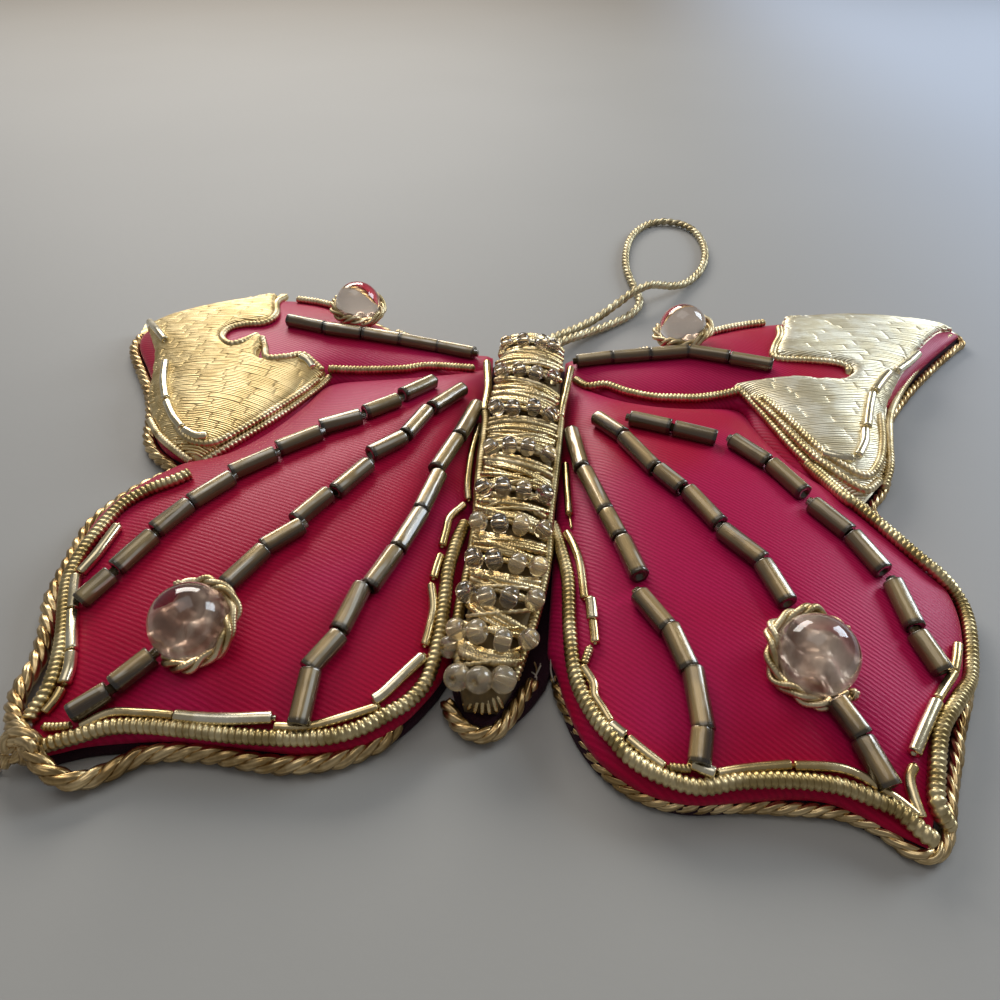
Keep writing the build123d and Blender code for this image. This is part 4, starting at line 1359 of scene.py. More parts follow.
@dataclass
class Gem:
    """A glass bead cut flat below, in a wavy ring of purl."""

    ground: Ground
    pixel: Sequence[float]
    name: str
    radius: float
    ring_span: tuple[float, float]
    finishes: Finishes
    sink: float = 0.55
    place: Optional[np.ndarray] = None
    lining_share: float = 0.80
    lining_sink: float = 0.45
    lining_flatness: float = 0.40
    lining_lift: float = 0.15
    dome_rows: int = 20
    dome_corners: int = 40
    ring_strands: int = 3
    ring_turns: int = 5
    ring_knots: int = 5

    def __post_init__(self) -> None:
        """Seat the bead where the photograph shows it, or over a plan point."""
        if self.place is None:
            middle = self.ground.seen(self.pixel, self.radius * self.sink)
            _, self.normal = self.ground.gap(middle)
        else:
            middle, self.normal = self.ground.above(self.place, self.radius * self.sink)
        self.foot = middle - self.normal * self.radius * self.sink
        self.side = np.cross([0, 1, 0.0], self.normal)
        self.side /= np.linalg.norm(self.side)
        self.ahead = np.cross(self.side, self.normal)

    def dome(self, shape: Shape, radius: float, sink: float, flat: float = 1.0) -> None:
        """Add a cut ball that stands on the foot."""
        lat = np.linspace(-math.asin(sink), math.pi / 2, self.dome_rows)
        lon = np.linspace(0, 2 * math.pi, self.dome_corners + 1)
        spoke = np.cos(lon)[None, :, None] * self.side + np.sin(lon)[None, :, None] * self.ahead
        level = ((np.sin(lat) + sink) * flat)[:, None, None] * self.normal
        ring = (np.cos(lat)[:, None, None] * spoke + level) * radius + self.foot
        number = numbered(ring)
        faces = net(number) + [tuple(number[0, :-1][::-1])]
        shape.add(ring.reshape(-1, 3), faces)

    def build(self) -> None:
        """Build the bead, its lining and its ring."""
        shape = Shape()
        self.dome(shape, self.radius, self.sink)
        shape.piece(self.name + "_glass", [self.finishes.gem], [self.name], slot="clear_glass")
        lining = Shape()
        foot = self.foot
        self.foot = foot + self.normal * self.lining_lift
        self.dome(lining, self.radius * self.lining_share, self.lining_sink, self.lining_flatness)
        self.foot = foot
        away = lining.points[0] - foot
        wave = np.sin(away @ (self.side * 1.9 + self.ahead * 0.7)) * 0.42
        wave += np.sin(away @ (self.ahead * 2.7 - self.side * 1.3) + 1.0) * 0.26
        lift = np.clip(away @ self.normal - 0.5, 0, 1)
        lining.points[0] = lining.points[0] + self.normal * (wave * lift)[:, None]
        lining.piece(self.name + "_lining", [self.finishes.lining], [], "clear_glass")
        self.ring()

    def ring(self) -> None:
        """Twist the purl round the bead and curl its end."""
        ring = Shape()
        first, last = (math.radians(angle) for angle in self.ring_span)
        rng = np.random.default_rng(len(self.name) + abs(int(self.foot[0])))
        turn = np.linspace(first, last, 240)
        wave = np.sin(turn * 6 + rng.uniform(0, 6)) * 0.30 + np.sin(turn * 11.3 + rng.uniform(0, 6)) * 0.14
        centre = self.radius * self.sink
        rise = centre - 0.5 + 1.5 * np.sin(turn) + 0.35 * np.sin(turn * 5 + rng.uniform(0, 6))
        rise = np.clip(rise, 0.55, centre + self.radius * 0.55)
        flank = np.sqrt(np.maximum(self.radius**2 - (rise - centre) ** 2, 1.0))
        for strand in range(self.ring_strands):
            spin = turn * self.ring_turns + strand * 2 * math.pi / self.ring_strands
            reach = flank + 0.42 + wave * 0.6 + 0.36 * np.cos(spin)
            level = rise + 0.52 * np.sin(spin)
            route = self.foot + (
                np.cos(turn)[:, None] * self.side - np.sin(turn)[:, None] * self.ahead
            ) * reach[:, None] + self.normal * level[:, None]
            ring.tube(flow(route[::3], 0.08), ribbed(0.37, 0.30, 0.16, 0.2), 10)
        end = route[-1]
        for _ in range(self.ring_knots):
            out = rng.normal(0, 1, 3)
            curl = np.linspace(0, 1.8 * math.pi, 9)[:, None]
            route = end + 0.45 * (np.cos(curl) * out / np.linalg.norm(out) + np.sin(curl) * self.normal)
            ring.tube(flow(route, 0.075), ribbed(0.20, 0.26, 0.2, 0.2), 8)
        wing, word = self.name.split("_gem_")
        ring.piece(f"{self.name}_ring", [self.finishes.pale], [f"{wing}_gem_setting_{word}"])


@dataclass
class ForeStitching:
    """What is sewn on one forewing, at the photograph's points."""

    bugles: Points
    front_purls: Sequence[Points]
    gem: tuple[float, float]
    gem_ring: tuple[float, float]
    division: Points
    patch_inner: Points
    patch_outer: Points
    edging: Points
    rows: Sequence[Points]
    accents: Sequence[Points]
    weave_turn: float
    strand_length: tuple[float, float]


FORE = {
    Side.RIGHT: ForeStitching(
        bugles=[
            (577, 361, 612, 357), (613, 357, 650, 354), (651, 354, 688, 351),
            (690, 351, 729, 357), (731, 358, 772, 365),
        ],
        front_purls=[
            [(0.062, 0.332), (0.080, 0.341), (0.099, 0.351), (0.118, 0.361), (0.136, 0.372)],
            [(0.208, 0.440), (0.244, 0.466), (0.276, 0.484)],
        ],
        gem=(688, 322),
        gem_ring=(130, 420),
        division=[
            (579, 370), (590, 377), (606, 385), (628, 392), (653, 397), (676, 398), (698, 398),
            (720, 395), (742, 390),
        ],
        patch_inner=[
            (783, 319), (782, 328), (781, 336), (777, 345), (775, 353), (781, 357), (800, 359),
            (820, 361), (840, 364), (850, 368), (850, 375), (842, 379), (820, 379), (795, 377),
            (770, 379), (748, 382), (730, 386), (742, 394), (760, 413), (790, 446), (820, 475),
            (848, 498), (866, 511),
        ],
        patch_outer=[
            (877, 498), (884, 478), (887, 456), (885, 432), (886, 412), (893, 393), (903, 374),
            (918, 352), (938, 333), (958, 322),
        ],
        edging=[
            (779, 328), (780, 336), (775, 346), (773, 355), (780, 359), (805, 360), (830, 362),
            (845, 366), (848, 372), (841, 377), (818, 377), (790, 375), (765, 377), (742, 381),
        ],
        rows=[
            [(734, 388), (742, 393), (760, 411), (790, 445), (820, 474), (848, 497), (868, 510)],
            [(752, 396), (776, 418), (806, 449), (836, 473), (864, 490), (880, 480)],
            [(762, 397), (786, 417), (816, 446), (842, 465), (866, 476), (879, 462), (882, 440), (880, 415)],
            [(884, 488), (890, 466), (889, 440), (890, 415), (900, 392), (914, 372), (930, 352), (950, 336)],
        ],
        accents=[
            [(918, 354), (908, 363), (897, 371)],
            [(889, 373), (882, 381), (875, 391)],
            [(872, 394), (869, 410), (867, 427)],
            [(865, 430), (864, 443), (858, 456)],
            [(853, 459), (838, 457), (822, 453)],
        ],
        weave_turn=0.22,
        strand_length=(5.0, 12.0),
    ),
    Side.LEFT: ForeStitching(
        bugles=[
            (474, 353, 438, 346), (437, 346, 400, 339), (399, 339, 363, 333), (361, 333, 325, 328),
            (324, 327, 289, 320),
        ],
        front_purls=[
            [(0.062, 0.341), (0.086, 0.352), (0.110, 0.365), (0.134, 0.381), (0.158, 0.399)],
            [(0.234, 0.472), (0.262, 0.494), (0.296, 0.506)],
        ],
        gem=(356, 309),
        gem_ring=(-200, 60),
        division=[
            (474, 356), (430, 366), (405, 369), (380, 370), (356, 370), (328, 369),
        ],
        patch_inner=[
            (288, 293), (279, 300), (276, 309), (276, 317), (266, 323), (250, 324), (236, 326),
            (225, 331), (222, 338), (228, 345), (240, 345), (252, 338), (263, 334), (262, 346),
            (259, 358), (270, 359), (286, 356), (303, 355), (313, 363), (326, 371), (318, 386),
            (292, 406), (264, 424), (232, 443), (205, 459),
        ],
        patch_outer=[
            (192, 460), (174, 450), (159, 434), (151, 412), (150, 392), (153, 372), (154, 352),
            (150, 337), (146, 325),
        ],
        edging=[
            (286, 297), (277, 303), (276, 315), (264, 323), (244, 325), (229, 329), (222, 337),
            (230, 345), (245, 343), (258, 335),
        ],
        rows=[
            [(262, 337), (265, 348), (268, 360), (286, 357), (303, 355), (313, 362), (323, 371)],
            [(332, 375), (318, 388), (292, 407), (264, 425), (232, 444), (203, 462)],
            [(318, 379), (300, 393), (272, 411), (240, 430), (213, 443), (190, 440), (176, 426)],
            [(150, 420), (160, 436), (176, 450), (192, 462)],
        ],
        accents=[
            [(166, 362), (164, 380), (166, 399)],
            [(167, 402), (173, 416), (182, 428)],
            [(184, 430), (196, 436), (208, 436)],
            [(150, 322), (157, 330), (165, 340)],
            [(300, 356), (308, 361), (313, 368)],
        ],
        weave_turn=-0.12,
        strand_length=(3.2, 6.5),
    ),
}


@dataclass
class ForeWing:
    """One forewing: satin, its woven patch, its bead row and its purls."""

    side: Side
    finishes: Finishes
    crown: float = 4.9
    outward_fall: float = 0.0233
    seam_rise: float = 2.4
    rise_width: float = 9.0
    middle_reach: float = 36.0
    bugle_radius: float = 1.1
    purl_radius: float = 0.70
    gem_radius: float = 3.9
    gem_sink: float = 0.85

    def __post_init__(self) -> None:
        """Take the side's tables and make the seam."""
        self.sewn = FORE[self.side]
        seams = SEAMS[self.side]
        self.edge = seam(self.side, seams.division[::-1], seams.fore_rim, seams.front)

    def base(self, points: np.ndarray) -> np.ndarray:
        """Height of the seam, which rises beside the body and along the division."""
        beside = np.exp(-(np.abs(points[:, 0] - BODY_LINE) / self.rise_width) ** 2)
        behind = np.clip((24.0 - points[:, 1]) / 12.0, 0, 1)
        reach = np.clip(1 - (self.side.value * (points[:, 0] - BODY_LINE) - 4.0) / 26.0, 0, 1)
        return CARD_TOP + self.seam_rise * np.maximum(beside, behind * reach)

    def lean(self, points: np.ndarray) -> np.ndarray:
        """How the crown falls outward."""
        outward = self.side.value * (points[:, 0] - BODY_LINE)
        return -self.outward_fall * (outward - self.middle_reach)

    def build(self) -> None:
        """Build the wing's pieces."""
        side, finishes = self.side, self.finishes
        word = side.word
        self.ground = Pillow(self.edge, self.crown, self.base, [], self.lean).cover("fore", side, finishes)
        beads = Shape()
        for index, bead in enumerate(self.sewn.bugles):
            ends = [self.ground.seen(pixel, 1.0) for pixel in (bead[:2], bead[2:])]
            add_bugle(beads, self.ground, *ends, self.bugle_radius, turn=index * 1.3)
        beads.piece(f"bugles_front_{word}", [finishes.dull_bugle], [f"fore_front_bugles_{word}"],
                    slot="bugle_glass")
        purls = Shape()
        for table in self.sewn.front_purls:
            route = [self.ground.above(place, self.purl_radius * 0.9)[0]
                     for place in flow(plans(side, table), 1.0)]
            purls.tube(flow(route, 0.09), ribbed(self.purl_radius), 12)
        purls.piece(f"front_purl_laid_{word}", [finishes.pale], [f"front_purl_{word}"])
        place = np.mean(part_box(f"fore_gem_{word}"), axis=0) / MM
        Gem(self.ground, self.sewn.gem, f"fore_gem_{word}", self.gem_radius, self.sewn.gem_ring, finishes,
            self.gem_sink, place).build()
        TipPatch(self).build()


@dataclass
class TipPatch:
    """The basket-woven gold patch on a forewing's tip."""

    wing: ForeWing
    thickness: float = 0.85
    rounding: float = 1.4
    strand_gap: float = 0.36
    strand_radius: float = 0.23
    border_radius: float = 0.62
    accent_radius: float = 0.68

    def __post_init__(self) -> None:
        """Make the patch's outline."""
        self.side, self.sewn, self.finishes = self.wing.side, self.wing.sewn, self.wing.finishes
        seams = SEAMS[self.side]
        inner, outer = ([self.wing.ground.seen(pixel, 0.3)[:2] for pixel in table]
                        for table in (self.sewn.patch_inner, self.sewn.patch_outer))
        front = [place for place in plans(self.side, seams.front)
                 if abs(place[0] - BODY_LINE) > abs(inner[0][0] - BODY_LINE) + 2]
        parts = [flow(part, 0.6) for part in (inner, [inner[-1], *outer], [outer[-1], *front, inner[0]])]
        self.edge = np.concatenate([part[:-1] for part in parts])
        self.loop = closed(self.edge)

    def surface(self) -> tuple[np.ndarray, list]:
        """The raised ground that the strands cover."""
        lattice = scattered(self.edge, 0.7, 0.4)
        flat, faces = triangles(np.concatenate([self.edge, lattice]), len(self.edge))
        away = off_edge(flat, self.loop)
        lift = self.thickness * np.sqrt(np.clip(away / self.rounding, 0, 1)) - 0.12
        height = np.array([self.wing.ground.above(point, 0)[0][2] for point in flat]) + lift
        return np.column_stack([flat, height]), faces

    def build(self) -> None:
        """Build the ground, the strands and the edging."""
        word = self.side.word
        points, faces = self.surface()
        ground = Ground(points, faces)
        shape = Shape()
        shape.add(points, faces)
        shape.piece(f"patch_ground_{word}", [self.finishes.weave[self.side]], [f"tip_patch_{word}"],
                    slot="gold_weave")
        self.weave(ground)
        edging = Shape()
        for table in (self.sewn.edging, *self.sewn.rows):
            edging.tube(ground.laid(table, 0.5, 0.105), ribbed(self.border_radius), 12)
        edging.piece(f"patch_border_laid_{word}", [self.finishes.pale], [f"patch_border_{word}"])
        accent = Shape()
        for table in self.sewn.accents:
            wire = ribbed(self.accent_radius, 0.16, 0.04, 0.15)
            accent.tube(ground.laid(table, 0.7, 0.09), wire, 14, bore=0.3)
        accent.piece(f"patch_accent_laid_{word}", [self.finishes.silver], [f"patch_accent_{word}"])

    def weave(self, ground: Ground) -> None:
        """Lay the strands side by side over their padding, broken like bricks."""
        turn = self.sewn.weave_turn
        along = np.array([math.cos(turn), math.sin(turn)])
        across = np.array([-along[1], along[0]])
        spans = self.edge @ across
        rng = np.random.default_rng(7 + self.side.value)
        shape = Shape()
        for row, level in enumerate(np.arange(spans.min() + 0.4, spans.max(), self.strand_gap)):
            reach = np.arange((self.edge @ along).min(), (self.edge @ along).max(), 0.3)
            line = reach[:, None] * along + level * across
            line = line + across * (0.5 * np.sin(reach * 0.23 + 1.0))[:, None]
            good = inside(line, self.edge) & (off_edge(line, self.loop) > 0.3)
            bounds = np.flatnonzero(np.diff(np.concatenate([[0], good.astype(int), [0]])))
            for start, end in zip(bounds[::2], bounds[1::2]):
                self.strands(shape, ground, line[start:end], reach[start:end], row, rng)
        shape.piece(f"patch_weave_{self.side.word}", [self.finishes.weave[self.side]], [], "gold_weave")

    def strands(self, shape: Shape, ground: Ground, line: np.ndarray, reach: np.ndarray, row: int,
                rng: np.random.Generator) -> None:
        """Lay one row's strands.

        Args:
            shape: the shape that takes them.
            ground: the padded ground.
            line: plan points of the row.
            reach: their distances along it.
            row: the row's number.
            rng: source of small unevenness.
        """
        group = np.random.default_rng(row // 4 + 50)
        length = group.uniform(*self.sewn.strand_length)
        brick = np.floor((reach + group.uniform(0, length)) / length)
        for number in np.unique(brick):
            spot = np.flatnonzero(brick == number)
            part = line[max(0, spot[0] - 1):spot[-1] + 2]
            if len(part) < 3:
                continue
            share = np.linspace(0, 1, len(part))
            wave = np.sin(share * math.pi) ** 0.4 * 0.15 + 0.02
            offset = rng.normal(0, 0.03, 2)
            points = np.array([
                ground.above(spot + offset, self.strand_radius * 0.5 + lift)[0]
                for spot, lift in zip(part, wave)
            ])
            shape.tube(points, smooth(self.strand_radius * rng.uniform(0.92, 1.08), 0.2, 0.7), 7)


@dataclass
class Abdomen:
    """The padded body with its bead rows, bands, borders and tail."""

    finishes: Finishes
    width: float = 9.2
    height: float = 8.2
    rise: float = 0.46
    seed_radius: float = 1.27
    seeds_per_row: int = 4
    tail_bead_radius: float = 1.42
    strand_radius: float = 0.46
    border_radius: float = 0.68
    tail_row: float = -0.327
    slant: float = 1.1
    core_rings: int = 60
    foot_share: float = 1.02
    strand_step: float = 0.085
    strand_bend: float = 1.2
    seed_bend: float = 1.3
    seed_spacing: float = 1.90
    seed_length: float = 1.85
    bend_angle: float = 40.0
    smooth_share: float = 0.24
    sight_rounds: int = 5
    fan_strands: int = 7
    stations: Points = (
        (-0.338, 0.36, 0.24), (-0.318, 0.56, 0.40), (-0.275, 0.70, 0.55), (-0.200, 0.83, 0.66),
        (-0.080, 0.92, 0.78), (0.040, 0.97, 0.89), (0.160, 1.00, 0.97), (0.250, 1.06, 1.0),
        (0.305, 1.00, 0.92), (0.340, 0.74, 0.66),
    )
    fan_profile: Points = ((1.5, 2.0), (2.2, 1.4), (2.6, 0.7))
    sways: Points = ((-0.338, -0.006), (-0.280, -0.002), (-0.200, 0.003), (0.340, 0.005))
    rows: tuple = (-0.286, -0.238, -0.192, -0.134, -0.074, 0.002, 0.086, 0.176, 0.265)
    bands: tuple = (5, 4, 4, 6, 6, 8, 9, 9, 9)
    right_border: Points = (
        (571, 368), (566, 390), (561, 413), (559, 432), (557, 453), (552.5, 491), (549, 520),
        (547, 560), (537, 608), (523, 652), (513, 680),
    )
    left_border: Points = (
        (487, 362), (488, 388), (485, 408), (486, 424), (480.5, 468), (477.5, 514), (472.8, 549),
        (466.9, 578), (459.6, 608), (456.7, 636), (459, 660), (462, 678),
    )

    def profile(self, y_share: float) -> tuple[np.ndarray, float, float]:
        """Middle, half width and height at a share of the length."""
        at = [station[0] for station in self.stations]
        width = np.interp(y_share, at, [station[1] for station in self.stations])
        height = np.interp(y_share, at, [station[2] for station in self.stations])
        sway = np.interp(y_share, [s[0] for s in self.sways], [s[1] for s in self.sways])
        middle = np.array([BODY_LINE + WING_SPAN * sway, WAIST_LINE + PANEL_LENGTH * y_share, CARD_TOP])
        return middle, self.width / 2 * width, self.height * height

    def roundness(self, half: float) -> float:
        """Radius of the body's arched top over a half width."""
        rise = half * self.rise
        return (half**2 + rise**2) / (2 * rise)

    def over(self, y_share: float, degrees: float, lift: float) -> np.ndarray:
        """Point over the body at an angle from its top."""
        middle, half, height = self.profile(y_share)
        radius = self.roundness(half)
        angle = math.radians(degrees)
        return middle + np.array([0, 0, height - radius]) + np.array(
            [math.sin(angle), 0, math.cos(angle)]) * (radius + lift)

    def build(self) -> None:
        """Build the body's pieces."""
        self.core()
        self.strands()
        self.seeds()
        self.borders()
        self.tail()
        self.head()

    def core(self) -> None:
        """Build the dark cloth core."""
        shape = Shape()
        shares = np.linspace(self.stations[0][0], self.stations[-1][0], self.core_rings)
        rings = []
        for share in shares:
            middle, half, _ = self.profile(share)
            open_angle = math.degrees(math.asin(min(1.0, half / self.roundness(half))))
            over = [self.over(share, degrees, 0) for degrees in np.linspace(-open_angle, open_angle, 19)]
            foot = np.array([half * self.foot_share, 0, 0])
            rings.append(np.array([*over, middle + foot, middle - foot]))
        ring = np.array(rings)
        number = numbered(ring)
        quads = net(number, around=True) + [tuple(number[0][::-1]), tuple(number[-1])]
        shape.add(ring.reshape(-1, 3), quads)
        self.ground = Ground(ring.reshape(-1, 3), quads)
        shape.piece("body_cloth", [self.finishes.ground], ["body_core"])

    def arch(self, shape: Shape, y_share: float, radius: float, slant: float, span: float = 44.0,
             lift: float = 0.12, slot: int = 0, bow: float = 0.0) -> None:
        """Add one crimped strand over the body.

        Args:
            shape: the shape that takes it.
            y_share: its place along the body.
            radius: its radius.
            slant: how far it leans, in millimetres.
            span: the angle it reaches on each side.
            lift: its lift off the body.
            slot: the number of its finish.
            bow: extra lift in its middle.
        """
        degrees = np.linspace(-span, span, 15)
        bends = self.strand_bend * (degrees / self.bend_angle) ** 2 - slant * degrees / span
        route = [
            self.over(y_share + bend / PANEL_LENGTH, angle,
                      radius + lift + bow * math.cos(math.radians(angle * 90 / span)))
            for angle, bend in zip(degrees, bends)
        ]
        line = flow(route, self.strand_step)
        reach = np.linspace(0, len(line) * self.strand_step, len(line))
        line[:, 1] += 0.05 * np.sin(reach * 7)
        shape.tube(line, ribbed(radius, 0.34, 0.20, 0.2), 9, slot=slot)

    def strands(self) -> None:
        """Lay the crimped gold bands between the bead rows."""
        rng = np.random.default_rng(11)
        shape = Shape()
        starts = [self.tail_row + 0.018, *(row + 0.013 for row in self.rows[:-1])]
        ends = [row - 0.011 for row in self.rows]
        for start, end, count in zip(starts, ends, self.bands):
            lean = self.slant * rng.uniform(0.6, 1.6)
            for share in np.linspace(start, end, count):
                self.arch(shape, share + rng.normal(0, 0.0022), self.strand_radius * rng.uniform(0.85, 1.2),
                          lean * rng.uniform(0.3, 1.5), span=rng.uniform(40, 47),
                          lift=0.05 + 0.25 * rng.random(), slot=int(rng.random() < 0.3),
                          bow=rng.uniform(0.0, 0.35))
            for _ in range(count // 2):
                share = rng.uniform(start, end)
                self.arch(shape, share, self.strand_radius * 0.55, rng.uniform(-1.5, 2.2), span=40,
                          lift=0.45, slot=int(rng.random() < 0.5), bow=rng.uniform(0.2, 0.6))
        shape.piece("body_bands", [self.finishes.bright, self.finishes.pale], ["body_strands"])

    def seed(self, shape: Shape, middle: np.ndarray, thread: np.ndarray, radius: float, length: float,
             slot: int) -> None:
        """Add one round seed bead with its bore."""
        outline = [(0.30, -1.0), (0.55, -0.98), (0.82, -0.72), (0.97, -0.32), (1.0, 0.0), (0.97, 0.32),
                   (0.82, 0.72), (0.55, 0.98), (0.30, 1.0), (0.26, 0.5), (0.26, -0.5)]
        thread = thread / np.linalg.norm(thread)
        side = np.cross(thread, [0.0, 1.0, 0.0])
        side /= np.linalg.norm(side)
        ahead = np.cross(thread, side)
        turns = np.linspace(0, 2 * math.pi, 21)[:-1]
        spokes = [(math.cos(turn) * side + math.sin(turn) * ahead) * radius for turn in turns]
        ring = np.array([
            [middle + spoke * reach + thread * length / 2 * level for spoke in spokes]
            for reach, level in outline
        ])
        shape.add(ring.reshape(-1, 3), net(numbered(ring), around=True, along=True), slot=slot)

    def seeds(self) -> None:
        """Sew the rows of seed beads, each bead against the next."""
        rng = np.random.default_rng(5)
        shape = Shape()
        for index, share in enumerate(self.rows):
            radius_over = self.roundness(self.profile(share)[1]) + self.seed_radius
            step = math.degrees(self.seed_spacing * self.seed_radius / radius_over)
            count = self.seeds_per_row
            for number in range(count):
                degrees = (number - (count - 1) / 2) * step + rng.normal(0, 0.8)
                shift = (rng.normal(0, 0.16) - 0.10 * degrees / 10) / PANEL_LENGTH
                radius = self.seed_radius * rng.uniform(0.93, 1.05)
                bend = self.seed_bend * (degrees / self.bend_angle) ** 2 / PANEL_LENGTH
                middle = self.over(share + shift + bend, degrees, radius + 0.45 + 0.25 * rng.random())
                angle = math.radians(degrees + rng.normal(0, 7))
                thread = np.array([math.cos(angle), rng.normal(0, 0.16), -math.sin(angle)])
                slot = 0 if index > 3 or rng.random() < 0.25 else 1
                self.seed(shape, middle, thread, radius, self.seed_length, slot)
            if index < 1:
                end = self.over(share + 0.004, -step * (count + 0.3) / 2, self.seed_radius + 0.1)
                self.seed(shape, end, np.array([-0.7, -0.5, 0.4]), self.seed_radius * 0.95, 1.7, 1)
        shape.piece("seed_rows", [self.finishes.smoky, self.finishes.frosted], ["body_seeds"],
                    slot="seed_glass")

    def borders(self) -> None:
        """Lay the ribbed purl on each side of the body."""
        for side, table in ((Side.RIGHT, self.right_border), (Side.LEFT, self.left_border)):
            route = []
            for pixel in table:
                level = 5.0
                for _ in range(self.sight_rounds):
                    place = EYE.at_height(pixel, level)
                    middle, half, height = self.profile((place[1] - WAIST_LINE) / PANEL_LENGTH)
                    level = middle[2] + height - half * self.rise - 0.2
                route.append(place)
            line = flow(route, 0.09)
            split = int(len(line) * self.smooth_share)
            shape = Shape()
            shape.tube(line[:split], ribbed(0.62, 0.16, 0.05), 12, slot=1, bore=0.25)
            shape.tube(line[split + 2:], ribbed(self.border_radius, 0.54), 12)
            shape.piece(f"border_laid_{side.word}", [self.finishes.purl, self.finishes.bright],
                        [f"body_border_{side.word}"])

    def tail(self) -> None:
        """Sew the tail's beads and its fan of strands."""
        shape = Shape()
        for shift, degrees in ((0.004, -34.0), (-0.001, -4.0), (0.003, 26.0)):
            middle = self.over(self.tail_row + shift, degrees, 1.6)
            angle = math.radians(degrees)
            thread = np.array([math.cos(angle), 0, -math.sin(angle)])
            if degrees < 0:
                thread = np.array([-0.35, -0.75, 0.55])
            self.seed(shape, middle, thread, self.tail_bead_radius, 2.4, 0)
        shape.piece("tail_beads_sewn", [self.finishes.frosted], ["tail_beads"], slot="seed_glass")
        fan = Shape()
        middle = self.profile(self.stations[1][0])[0]
        for angle in np.radians(np.linspace(-50, 50, self.fan_strands)):
            out = np.array([math.sin(angle), -math.cos(angle), 0])
            route = [middle + out * reach + [0, 0, level] for reach, level in self.fan_profile]
            fan.tube(flow(route, 0.08), ribbed(0.25, 0.26, 0.16), 8)
        fan.piece("tail_fan_laid", [self.finishes.bright], ["tail_fan"])

    def head(self) -> None:
        """Wrap the head with crossing strands."""
        rng = np.random.default_rng(3)
        shape = Shape()
        for index, share in enumerate(np.linspace(0.282, 0.338, 11)):
            self.arch(shape, share, self.strand_radius * 1.1, (-1) ** index * 1.6, 46.0,
                      0.15 + 0.3 * rng.random(), slot=int(index % 3 == 0), bow=0.3)
        shape.piece("head_wraps_laid", [self.finishes.bright, self.finishes.silver], ["head_wraps"])


def twist(shape: Shape, line: np.ndarray, radius: float, strands: int, pitch: float) -> None:
    """Add a cord of twisted strands round a line.

    Args:
        shape: the shape that takes it.
        line: the cord's middle line.
        radius: the cord's outer radius.
        strands: the number of strands.
        pitch: the length of one turn.
    """
    lobes, lobe_depth, lobe_turn, end_taper = 5, 0.11, 2.2, 0.5
    _, side, up = directions(line)
    reach = distances(line)
    thick = radius * (0.56 if strands == 3 else 0.60)
    centre = radius - thick
    for number in range(strands):
        angle = 2 * math.pi * (reach / pitch + number / strands)
        path = line + (side * np.cos(angle)[:, None] + up * np.sin(angle)[:, None]) * centre

        def at(along: np.ndarray, around: np.ndarray) -> np.ndarray:
            """Radius with the strand's own wires."""
            ends = np.clip(np.minimum(along, along.max() - along) / end_taper, 0, 1)
            return thick * (1 + lobe_depth * np.cos(lobes * around + lobe_turn * along)) * (0.6 + 0.4 * ends)

        shape.tube(path, at, 3 * lobes)


